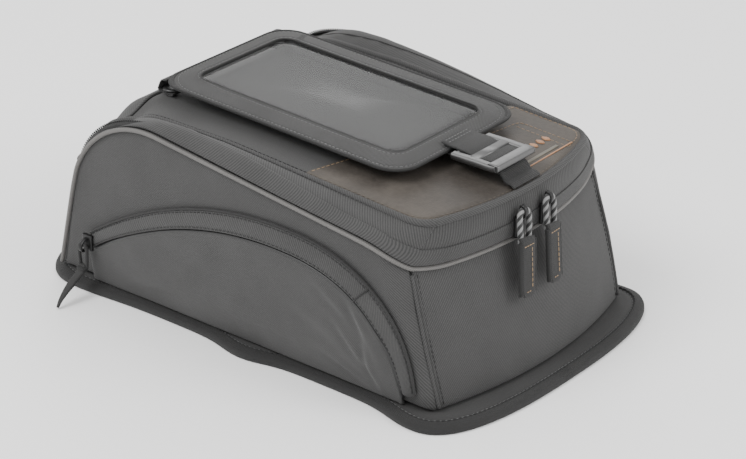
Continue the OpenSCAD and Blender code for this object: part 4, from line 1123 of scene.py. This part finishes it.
def make_leather():
    panel = sheet("leather_patch", leather_pt, soft_steps(0, 1, 60), soft_steps(-1, 1, 72), LEATHER_T - 0.4,
                  ["leather", "leather_edge_highlight"], 1, leather_puff, 0.5)
    place(panel, "lid", "leather", "leather_panel")
    top = LEATHER_TOP
    # A thin cord along the leather's outline in the lighter edge look: a painted highlight on the leather's
    # thick edge.
    place(sweep("leather_rim_highlight", leather_line(-0.1, -0.4), circle(0.6, 8), ["leather_edge_highlight"]), "lid", "leather")
    slant = [(v * (LID_W / 2 - 4), leather_front(v) - 3.2) for v in steps(-1, 1, 60)]
    slant = [vec(x, y, lid_z(y) + top + 0.05) for x, y in slant]
    rows = (("front", slant, "tan_thread", 2.6, 0.42),
            ("edge", leather_line(4.2, 0.05, 0.72, 1), "tan_thread", 2.6, 0.42),
            ("hidden", leather_line(3.0, 0.02, -1, 0.5), "leather_thread", 2.4, 0.5))
    for tag, path, thread, long, wide in rows:
        stitch_row(f"leather_{tag}_stitches", path, thread, "lid", "leather", 3.6, long, wide)
    inner = [vec(62, y, lid_z(y) + top + 0.1) for y in steps(-128, PATCH_Y, 20)]
    inner += [vec(x, -90 + (62 - x) * 0.12, lid_z(-90) + top + 0.1) for x in steps(60, 24, 20)]
    stitch_row("leather_patch_stitches", inner, "tan_thread", "lid", "leather", 3.4, 2.5, 0.42)
    # Plain bars in place of a badge
    bars = []
    for x in (29.5, 35.5, 42, 48.5, 54.5):
        centre = vec(x, -115.5, lid_z(-115.5) + top + 0.25)
        bars.append((centre, vec(1, 0, 0), vec(0, 1, td(LID_FALL)), vec(0, 0, 1)))
    strip = boxes("badge_bars", bars, (4.2, 6.0, 0.7), "tan_leather", "lid", "tan_leather")
    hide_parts("leather_badge")
    for tag, x0, x1, y, w, look in (("dark", 16, 52, -126, 2.6, "leather_edge_highlight"),
                                    ("gold", 6, 62, -130, 1.2, "tan_leather")):
        path = [vec(x, y + (x - 34) * 0.02, lid_z(y) + top + 0.1) for x in steps(x0, x1, 30)]
        strip = sweep(f"badge_strip_{tag}", path, strap_section(w, 0.5), [look], aside=vec(0, 1, 0))
        place(strip, "lid", "tan_leather")


make_leather()


# ================= Phone pocket =================
PITCH = (cd(PHONE_PITCH), sd(PHONE_PITCH))
FRAME_T, BACK_T, WINDOW_T, BOX_WALL, BINDING_T = 1.2, 1, 0.5, 3, 3.2
BOX_W, BOX_L = WINDOW_W + 2 * GAP + 2 * BOX_WALL, WINDOW_L + 2 * GAP + 2 * BOX_WALL


def in_pocket(x, y, z):
    c, s = PITCH
    return vec(x, PHONE_Y + y * c - z * s, WINDOW_H + y * s + z * c)


def round_box(w, l, r, n=14):
    """A rounded rectangle's outline, with points along its straight sides too."""
    out = slab_section(w, l, r, steps(0, 90, n))
    dense = []
    for p, q in zip(out, out[1:] + out[:1]):
        k = max(1, round(math.dist(p, q) / 4)) if math.dist(p, q) > 6 else 1
        dense += [(mix(p[0], q[0], t / k), mix(p[1], q[1], t / k)) for t in range(k)]
    return dense


def pocket_ring(f, z):
    """A ring between the window's edge at f = 0 and the pocket's outer edge at f = 1."""
    inner, outer = round_box(WINDOW_W, WINDOW_L, PHONE_R / 2), round_box(PHONE_W, PHONE_L, PHONE_R)
    inner = spread(inner, 220)
    outer = spread(outer, 220)
    return [in_pocket(mix(a[0], b[0], f), mix(a[1], b[1], f), z) for a, b in zip(inner, outer)]


def spread(outline, n):
    """n points round a closed outline, at equal angles seen from its middle."""
    path = np.array([(x, y, 0) for x, y in close(outline)])
    run = lengths(path)
    ang = np.unwrap(np.arctan2(path[:, 1] / PHONE_L, path[:, 0] / PHONE_W))
    want = np.linspace(ang[0], ang[0] + 2 * math.pi, n, endpoint=False)
    at = np.interp(want, ang, run)
    return [(float(np.interp(s, run, path[:, 0])), float(np.interp(s, run, path[:, 1]))) for s in at]


def ring_mesh(name, rings, materials, closed_section=True):
    """Joins rings of points into one skin."""
    k = len(rings[0])
    points = np.concatenate([np.array(r) for r in rings])
    faces, n = [], len(rings)
    for i in range(n if closed_section else n - 1):
        for j in range(k):
            a, b = i * k + j, i * k + (j + 1) % k
            c, d = (i + 1) % n * k + (j + 1) % k, (i + 1) % n * k + j
            faces.append([a, b, c, d])
    run = lengths(points[:k])
    across = [np.linalg.norm(np.array(rings[i][0]) - np.array(rings[0][0])) for i in range(n)]
    uvs = [(run[j], across[i]) for i in range(n) for j in range(k)]
    return new_piece(name, points, faces, materials, uvs)


def plate(name, outline, z0, z1, material, crown=0.0):
    """A flat-backed plate with softened edges in the phone pocket's own frame."""
    mid = np.mean(outline, axis=0)
    levels = [(1, z0), (1, z1 - 0.15), (0.995, z1)]
    levels += [(f, z1 + crown * (1 - f * f)) for f in (0.9, 0.7, 0.45, 0.2)]
    k = len(outline)
    points = [in_pocket(*(mid + (np.array(p) - mid) * f), z) for f, z in levels for p in outline]
    points += [in_pocket(*mid, z1 + crown), in_pocket(*mid, z0)]
    faces = [[i * k + j, i * k + (j + 1) % k, (i + 1) * k + (j + 1) % k, (i + 1) * k + j]
             for i in range(len(levels) - 1) for j in range(k)]
    last = (len(levels) - 1) * k
    faces += [[last + j, last + (j + 1) % k, len(points) - 2] for j in range(k)]
    faces += [[(j + 1) % k, j, len(points) - 1] for j in range(k)]
    uvs = [(p[0], p[1]) for p in points]
    return new_piece(name, points, faces, [material], uvs)


def frame_height(f):
    """The frame falls away from the window to its thin outer edge, with a pressed seam on the way."""
    fall = 0.9 - 2.9 * f ** 1.3
    seam = 0.5 * math.exp(-((f - 0.16) / 0.035) ** 2) + 0.4 * math.exp(-((f - 0.82) / 0.04) ** 2)
    return fall - seam


def make_phone_pocket():
    # Rings from the window outwards, closer where the two seams are pressed in
    fs = [0.0, 0.03, 0.07, 0.11, 0.14, 0.16, 0.18, 0.22, 0.3, 0.4, 0.5, 0.6, 0.7]
    fs += [0.77, 0.8, 0.82, 0.84, 0.88, 0.93]
    rings = [pocket_ring(f, frame_height(f) - (0.35 if f == 0 else 0)) for f in fs]
    rings += [pocket_ring(0.93, -3.0), pocket_ring(0.5, -2.0), pocket_ring(0.0, -1.3)]
    frame_piece = ring_mesh("phone_frame", rings, ["frame_fabric"])
    place(frame_piece, "phone_pocket", "pocket_fabric", "phone_pocket_frame", fill=0.4)
    edge = [(0.9, -1.35), (0.95, -1.3), (0.99, -1.6), (1.005, -2.2), (0.995, -2.9), (0.95, -3.2)]
    edge += [(0.9, -3.1), (0.9, -2.4)]
    place(ring_mesh("phone_binding", [pocket_ring(f, z) for f, z in edge], ["binding"]),
          "phone_pocket", "binding", "phone_pocket_binding")
    lip = [(-0.03, 0.2), (-0.03, 0.85), (0.02, 1.15), (0.06, 0.85), (0.05, 0.3)]
    place(ring_mesh("phone_window_welt", [pocket_ring(f, z) for f, z in lip], ["dark_piping"]),
          "phone_pocket", "pocket_fabric")
    for tag, f, lift in (("inner", 0.16, 0.2), ("outer", 0.82, 0.2)):
        stitch_row(f"phone_stitches_{tag}", close(pocket_ring(f, frame_height(f) + lift)), "grey_thread",
                   "phone_pocket", "pocket_fabric", 3.0, 2.1, 0.5)
    film = plate("phone_film", round_box(WINDOW_W - 2 * GAP, WINDOW_L - 2 * GAP, PHONE_R / 2), -FRAME_T + 0.2,
                 -FRAME_T + 0.2 + WINDOW_T, "clear_film", 0.6)
    place(film, "phone_pocket", "clear_film", "phone_window")
    back_z = -FRAME_T - PHONE_GAP
    back = plate("phone_pad", round_box(BOX_W, BOX_L, PHONE_R / 2 + BOX_WALL), back_z - BACK_T, back_z,
                 "pocket_fabric", 0.2)
    place(back, "phone_pocket", "pocket_fabric", "phone_pocket_back")
    low, high = back_z + 0.1, -FRAME_T - 0.1
    outline = [p for p in round_box(BOX_W - BOX_WALL, BOX_L - BOX_WALL, PHONE_R / 2 + BOX_WALL / 2)
               if not (abs(p[0]) < 40 and p[1] > 0)]
    cut = max(range(len(outline)), key=lambda i: math.dist(outline[i], outline[i - 1]))
    outline = outline[cut:] + outline[:cut]
    path = curve_through([in_pocket(x, y, (low + high) / 2) for x, y in outline], 2)
    tall = (high - low) / 2
    section = [(-1.5, -tall), (1.5, -tall), (1.9, -tall * 0.4), (1.9, tall * 0.4), (1.5, tall), (-1.5, tall)]
    up = unit(in_pocket(0, 0, 1) - in_pocket(0, 0, 0))
    sides = [unit(np.cross(t, up)) for t in np.gradient(np.array(path), axis=0)]
    gusset = sweep("phone_gusset", path, section, ["pocket_fabric"], aside=sides)
    place(gusset, "phone_pocket", "pocket_fabric", "phone_pocket_wall")


make_phone_pocket()


# ================= Straps, studs and buckle =================
PHONE_REAR_Y = PHONE_Y - PHONE_L / 2 * PITCH[0]
PHONE_REAR_Z = WINDOW_H - PHONE_L / 2 * PITCH[1]
PHONE_FRONT_Y = PHONE_Y + PHONE_L / 2 * PITCH[0]
PHONE_FRONT_Z = WINDOW_H + PHONE_L / 2 * PITCH[1]
BAR_Y, BUCKLE_Z = PHONE_REAR_Y - 5 - BAR_D / 2, PHONE_REAR_Z - BINDING_T / 2 - 0.4
SLOT_L = (BUCKLE_L - 3 * BAR_D - 4) / 2
STUD_X, STUD_Y, CAP_D, TAB_W = 48.7, PHONE_FRONT_Y - 2.6, 12, 11
ACROSS, ALONG = vec(1, 0, 0), vec(0, 1, 0)


def strap(name, points, w, t, look, body, slot, *nodes, n=8, x=0.0):
    """Webbing of width w along a smooth path of (y, z) points."""
    path = curve_through([(x, y, z) for y, z in points], n)
    piece = place(sweep(name, path, strap_section(w, t), [look], aside=ACROSS), body, slot, *nodes)
    return piece, path


def make_straps():
    rear_z = lid_z(LID_REAR_Y)
    end_y, end_z = BAR_Y - BUCKLE_L + BAR_D / 2 + 2.0, BUCKLE_Z - 4.6
    strap("rear_strap", [(LID_REAR_Y + 0.5, rear_z + 2.3), (LID_REAR_Y + 3, rear_z + 4.0),
                         (LID_REAR_Y + 7, rear_z + 4.6), (end_y, end_z), (end_y + 3.4, end_z + 0.2)],
          WEB_W, WEB_T, "webbing", "lid", "webbing", "lid_strap")
    r = BAR_D / 2 + GAP + WEB_T / 2
    loop = [(PHONE_REAR_Y + 7, BUCKLE_Z - r + 0.3), (PHONE_REAR_Y + 1, BUCKLE_Z - r)]
    loop += [(BAR_Y + 1, BUCKLE_Z - r)]
    loop += [(BAR_Y - r * sd(a), BUCKLE_Z - r * cd(a)) for a in (30, 60, 90, 120, 150)]
    loop += [(BAR_Y + 1, BUCKLE_Z + r), (PHONE_REAR_Y - 0.4, BUCKLE_Z + r)]
    loop += [(PHONE_REAR_Y + 6, BUCKLE_Z + r + 0.9)]
    strap("front_loop", loop, WEB_W, WEB_T, "webbing", "phone_pocket", "webbing", "buckle_loop", n=5)
    for y, rise in ((PHONE_REAR_Y + 2.2, 0.25), (PHONE_REAR_Y + 4.8, 0.65)):
        row = [vec(x, y, BUCKLE_Z + r + WEB_T / 2 + rise) for x in (-11, 11)]
        stitch_row(f"front_loop_stitches_{round(y)}", row, "grey_thread", "phone_pocket", "webbing",
                   2.6, 1.9, 0.5)
    tail_y = BAR_Y - 2 * BAR_D - 1.5 * SLOT_L
    points = [(BAR_Y + 1.5, BUCKLE_Z - 4.4), (BAR_Y - 6, BUCKLE_Z - 4.0), (tail_y + 3, BUCKLE_Z - 3.0),
              (tail_y + 0.8, BUCKLE_Z - 0.6), (tail_y - 0.6, BUCKLE_Z + 0.7), (tail_y - 2.2, BUCKLE_Z - 0.9),
              (tail_y - 3.0, BUCKLE_Z - 2.6)]
    strap("strap_fold", points, WEB_W, WEB_T, "webbing", "buckle", "webbing", "strap_tail", n=6)
    # The free end, which is folded over and hemmed, drawn as one thinner strip lying under the buckle's front
    # corner
    free = [(BAR_Y + 4.2, BUCKLE_Z - 5.2), (BAR_Y - 4, BUCKLE_Z - 5.5), (BAR_Y - 12, BUCKLE_Z - 5.9)]
    strap("strap_end", free, WEB_W - 1, 1.3, "webbing", "buckle", "webbing")


def make_studs():
    low = lid_z(STUD_Y) + GAP + 1.4 + GAP
    top = PHONE_FRONT_Z - FRAME_T - GAP - 0.65
    y = STUD_Y + CAP_D / 2 + 1.8
    for i, (name, side) in enumerate(SIDES):
        points = [(STUD_Y - CAP_D / 2 + 0.5, low + 0.65), (STUD_Y, low + 0.65), (y - 3, low + 0.7)]
        points += [(y - 0.8, low + 1.9), (y - 1.2, low + 3.6), (y - 3.6, top - 1.6)]
        points += [(PHONE_FRONT_Y - 3.0, top - 0.4)]
        nodes = ("front_tabs",) if i == 0 else ()
        strap(f"{name}_tab", points, TAB_W, 1.2, "webbing", "lid", "webbing", *nodes, x=side * STUD_X)
        cap = vec(side * STUD_X, STUD_Y, low + 1.3 + GAP)
        profile = [(0, 0), (5.6, 0), (6.0, 0.35), (6.0, 0.9), (5.6, 1.4), (4.6, 1.75), (3.2, 1.7)]
        profile += [(2.9, 1.5), (0, 1.45)]
        lathe(f"{name}_stud_cap", cap, profile, "cap_plastic", "lid", "cap_plastic",
              *(("press_stud_caps",) if i == 0 else ()))


def lathe(name, centre, profile, look, body, slot, *nodes, sides=40):
    """A turned piece: (radius, height) points round an upright axis."""
    points = [centre + vec(0, 0, profile[0][1])]
    rings = [p for p in profile if p[0] > 0]
    for r, z in rings:
        points += [centre + vec(r * cd(360 * k / sides), r * sd(360 * k / sides), z) for k in range(sides)]
    points.append(centre + vec(0, 0, profile[-1][1]))
    faces = [[0, 1 + (k + 1) % sides, 1 + k] for k in range(sides)]
    for i in range(len(rings) - 1):
        for k in range(sides):
            a, b = 1 + i * sides + k, 1 + i * sides + (k + 1) % sides
            faces.append([a, b, b + sides, a + sides])
    last = 1 + (len(rings) - 1) * sides
    faces += [[last + k, last + (k + 1) % sides, len(points) - 1] for k in range(sides)]
    piece = new_piece(name, points, faces, [look], [(p[0], p[1]) for p in points])
    return place(piece, body, slot, *nodes)


def bar(name, points, section, look, body, slot, *nodes, n=1, closed=False, aside=None):
    path = curve_through(points, n, closed) if n > 1 else [vec(*p) for p in points]
    return place(sweep(name, path, section, [look], aside=aside, closed=closed), body, slot, *nodes)


def cast(name, points, section, metal, body, *nodes, **shape):
    """A bar whose look and slot are the same metal."""
    return bar(name, points, section, metal, body, metal, *nodes, **shape)


def make_buckle():
    """A cast frame with two slots, three bars and a raised rear lip, rounded all over."""
    w, x = (BUCKLE_W - WEB_W - 2) / 2 + 0.6, (BUCKLE_W + WEB_W + 2) / 4
    y0, y1 = BAR_Y + BAR_D / 2, BAR_Y + BAR_D / 2 - BUCKLE_L
    for name, side in SIDES:
        spine = [(y0 - 0.6, 0), (y0 - 4, 0), ((y0 + y1) / 2, 0.15), (y1 + 5, 0), (y1 + 1.0, 0.6)]
        spine = [(side * x, y, BUCKLE_Z + up) for y, up in spine]
        cast(f"{name}_buckle_side", spine, slab_section(w, 4.2, 1.3), "buckle_metal", "buckle",
             *(("buckle",) if side < 0 else ()), n=5, aside=ACROSS)
    half = BUCKLE_W / 2 - 1.5
    cast("buckle_front_bar", [(-half + 3, BAR_Y, BUCKLE_Z), (half - 3, BAR_Y, BUCKLE_Z)],
         circle(BAR_D / 2, 16), "buckle_metal", "buckle")
    mid_y = BAR_Y - BAR_D - SLOT_L
    cast("buckle_middle_bar", [(-half + 2, mid_y, BUCKLE_Z + 0.6), (half - 2, mid_y, BUCKLE_Z + 0.6)],
         slab_section(7.0, 3.4, 1.1), "buckle_metal", "buckle", aside=ALONG)
    lip_x = BUCKLE_W / 2 - 0.6
    lip = [(x, y1 + y, BUCKLE_Z + up) for x, y, up in ((-lip_x, 3.4, 0.5), (0, 3.1, 0.6), (lip_x, 3.4, 0.5))]
    cast("buckle_rear_lip", lip, slab_section(8.0, 4.2, 1.3), "buckle_metal", "buckle", n=6, aside=ALONG)
    # The strap shows in both slots, rising a little between the bars
    high = BUCKLE_Z + BAR_D / 2 + GAP + WEB_T / 2
    front = [(BAR_Y + 1, high), (BAR_Y - 1.5, high - 0.1), (mix(BAR_Y, mid_y, 0.45), high - 0.5)]
    front += [(mid_y + 3.6, BUCKLE_Z + 0.9), (mid_y + 2.4, BUCKLE_Z - 0.6)]
    rear = [(mid_y - 2, -0.7), (mid_y - 4, 0.9), (y1 + 8, 1.0), (y1 + 6, -0.6)]
    rear = [(y, BUCKLE_Z + up) for y, up in rear]
    for tag, spots in (("front", front), ("rear", rear)):
        strap(f"strap_in_{tag}_slot", spots, WEB_W + 0.6, 1.5, "webbing", "buckle", "webbing", n=4)


make_straps()
make_studs()
make_buckle()


# ================= Zip pulls =================
PIN_OUT, PIN_Z, LEAN = REAR_PUFF + 4.2, REAR_ZIP_H + 17, 11


def main_frame(x):
    """Maps a main slider's own (across, out, up) to the bag: its origin is the pin, level and square."""
    a = math.degrees(math.asin(x / REAR_BOW_R))

    def at(across, out, up, lean=0.0):
        o, u = out * cd(lean) - up * sd(lean), out * sd(lean) + up * cd(lean)
        y = REAR_TOP_Y - PIN_OUT - o - RAIL_Y
        return vec(across * cd(a) - y * sd(a), RAIL_Y + across * sd(a) + y * cd(a), PIN_Z + u)
    return at


def oriented(at, lean=0.0):
    origin = at(0, 0, 0, lean)
    return tuple(unit(at(*e, lean) - origin) for e in ((1, 0, 0), (0, 1, 0), (0, 0, 1)))


def cord_loop(name, at, lean, w, top, low, d, look, body, slot, *nodes):
    """A cord bent into a long loop, its ends sewn into the tab below."""
    r = w / 2
    points = [(-r * 0.8, 0, low), (-r, 0.1, mix(low, top, 0.5))]
    points += [(-r * cd(a), 0, top - r + r * sd(a)) for a in (0, 30, 60, 90, 120, 150, 180)]
    points += [(r, 0.1, mix(low, top, 0.5)), (r * 0.8, 0, low)]
    path = curve_through([at(*p, lean) for p in points], 5)
    place(sweep(name, path, circle(d / 2, 12), [look], flat_caps=False), body, slot, *nodes)


def tab_piece(name, at, lean, w, rows, t, look, body, slot, *nodes):
    """A sewn tab: rows of (up, out) down its middle, soft edges, and a narrower rounded tip."""
    path = curve_through([at(0, out, up, lean) for up, out in rows], 6)
    axes = oriented(at, lean)

    def narrow(f):
        return 1.0 if f < 0.93 else max(0.55, 1 - 6 * (f - 0.93))
    tab = sweep(name, path, slab_section(w, t, t * 0.42), [look], aside=axes[0], taper=narrow)
    place(tab, body, slot, *nodes)


def slider_body(name, at, body, *nodes):
    """A zip slider: a plate and a bail for the cord."""
    out_y = -PIN_OUT + REAR_PUFF - 0.15
    plate_rows = [(out_y + 1.4, -16.5), (out_y + 1.6, -10), (out_y + 1.5, -6), (out_y + 1.2, -4)]
    axes = oriented(at)
    path = curve_through([at(0, *p) for p in plate_rows], 4)
    cast(f"{name}_plate", path, slab_section(8.4, 2.6, 1.0), "slider_metal", body, *nodes, aside=axes[0])
    bail = [(out_y + 2.6, -8.6), (-2.2, -6.4), (1.4, -2.4), (2.3, 0.4), (1.0, 3.0), (-1.6, 3.2)]
    bail.append((out_y + 2.4, 0.2))
    cast(f"{name}_bail", [at(0, *p) for p in bail], slab_section(2.8, 1.4, 0.5), "slider_metal", body,
         n=6, aside=axes[0])


def swung(at):
    """The same frame, with what hangs below the pin swung a little to the left."""
    def hang(across, out, up, lean=0.0):
        return at(across + 0.17 * min(0, up + 3), out, up, lean)
    return hang


def make_main_pulls():
    for name, x in (("left", -13), ("right", 11)):
        at, hang = main_frame(x), swung(main_frame(x))
        slider, pull = f"{name}_main_slider", f"{name}_main_pull"
        slider_body(slider, at, slider, slider)
        cord_loop(f"{pull}_loop", hang, LEAN, 8.2, 1.2, -20, 3.6, "striped_cord", pull,
                  "striped_cord", f"{pull}_cord")
        rows = [(-15, 1.2), (-17, 1.9), (-24, 1.9), (-36, 1.7), (-PULL_L + 2, 1.9), (-PULL_L, 2.0)]
        tab_piece(f"{pull}_cloth", hang, LEAN, PULL_W, rows, 3.2, "pull_tab", pull, "pull_tab", f"{pull}_tab")
        for edge, end in SIDES:
            side = [hang(end * (PULL_W / 2 + 0.1), out, up, LEAN) for up, out in rows[1:-1]]
            bar(f"{pull}_edge_{edge}", side, circle(1.45, 8), "binding", pull, "pull_tab", n=4)
        # Three rows of thread on the tab's face: spots (across, up), then pitch and length
        seams = (("top", [(-4.5, -19.5), (4.5, -19.5)], 2.4, 1.9),
                 ("long", [(2.6, up) for up in steps(-21, -45, 12)], 3.2, 2.4),
                 ("low", [(-2.8, -46.5), (1.4, -46.5)], 2.0, 1.5))
        for seam, spots, pitch, long in seams:
            path = [hang(a, 3.55, up, LEAN) for a, up in spots]
            stitch_row(f"{pull}_{seam}_stitches", path, "tan_thread", pull, "pull_tab", pitch, long, 0.6)


SIDE_PIN = vec(109.365, 120.5, 33.974)


def make_side_pulls():
    cord_l, t = 13, 2.5
    top = SIDE_PIN[2] - cord_l - t
    lean = math.degrees(math.acos((top - 0.6) / 30))
    for name, side in SIDES:
        def at(across, out, up, _=0.0, side=side):
            return (SIDE_PIN + vec(out, across, up)) * vec(side, 1, 1)
        slider, pull = f"{name}_side_slider", f"{name}_side_pull"
        path = curve_through([at(0, -4.8, -3.2), at(0, -4.6, 1), at(0, -4.6, 4.5), at(0, -4.9, 7)], 4)
        cast(f"{slider}_plate", path, slab_section(8, 2.6, 1.0), "slider_metal", slider, slider, aside=ALONG)
        bail = [(-3.7, 5.0), (-1.0, 4.2), (1.6, 2.2), (2.2, -0.6), (0.6, -2.4), (-2.0, -2.2), (-3.7, -0.6)]
        cast(f"{slider}_bail", [at(0, *p) for p in bail], slab_section(2.6, 1.3, 0.5), "slider_metal", slider,
             n=6, aside=ALONG)
        cord_loop(f"{pull}_loop", at, 0, 6.4, 2.2, -cord_l - 1, 2.4, "pull_cord", pull,
                  "pull_cord", f"{pull}_cord")
        # The tab bends out over the flange's edge and down to the ground
        reach, drop = 30 * sd(lean), 30 * cd(lean)
        down = [(-cord_l + 1.5, 0.9), (-cord_l - 1.5, 1.3)]
        for f in (0.12, 0.3, 0.5, 0.75):
            down.append((-cord_l - t - drop * f, 1.6 + reach * (f + 0.12 * sd(180 * f))))
        down += [(-cord_l - t - drop * 0.97, 1.2 + reach * 0.97)]
        points = curve_through([at(0, out, up) for up, out in down], 6)
        tab = sweep(f"{pull}_cloth", points, slab_section(5.6, t, 1.0), ["pull_tab"], aside=ALONG,
                    taper=lambda f: 1.0 if f < 0.5 else 1 - 1.3 * (f - 0.5))
        place(tab, pull, "pull_tab", f"{pull}_tab")
        ring = [at(a, 1.3 + b, -cord_l - 1.0) for a, b in slab_section(6.2, t + 0.8, 1.2)]
        bar(f"{pull}_wrap", ring, circle(0.9, 8), "binding", pull, "pull_tab", n=2, closed=True)


make_main_pulls()
make_side_pulls()


# ================= Pieces kept as the CAD part has them =================
def finish_nodes():
    looks = {"grip_sheet": "rubber_sheet", "holding_magnets": "magnet", "floor_board": "board",
             "lid_stiffener": "lining", "press_studs": "stud_metal"}
    for node, look in looks.items():
        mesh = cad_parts[node].data
        mesh.materials.clear()
        mesh.materials.append(LOOK[look])


finish_nodes()


floor_mesh = bpy.data.meshes.new("floor")
floor_mesh.from_pydata([(-8, -8, 0), (8, -8, 0), (8, 8, 0), (-8, 8, 0)], [], [[0, 1, 2, 3]])
floor_mesh.materials.append(LOOK["floor"])
floor = bpy.data.objects.new("floor", floor_mesh)
bpy.context.collection.objects.link(floor)
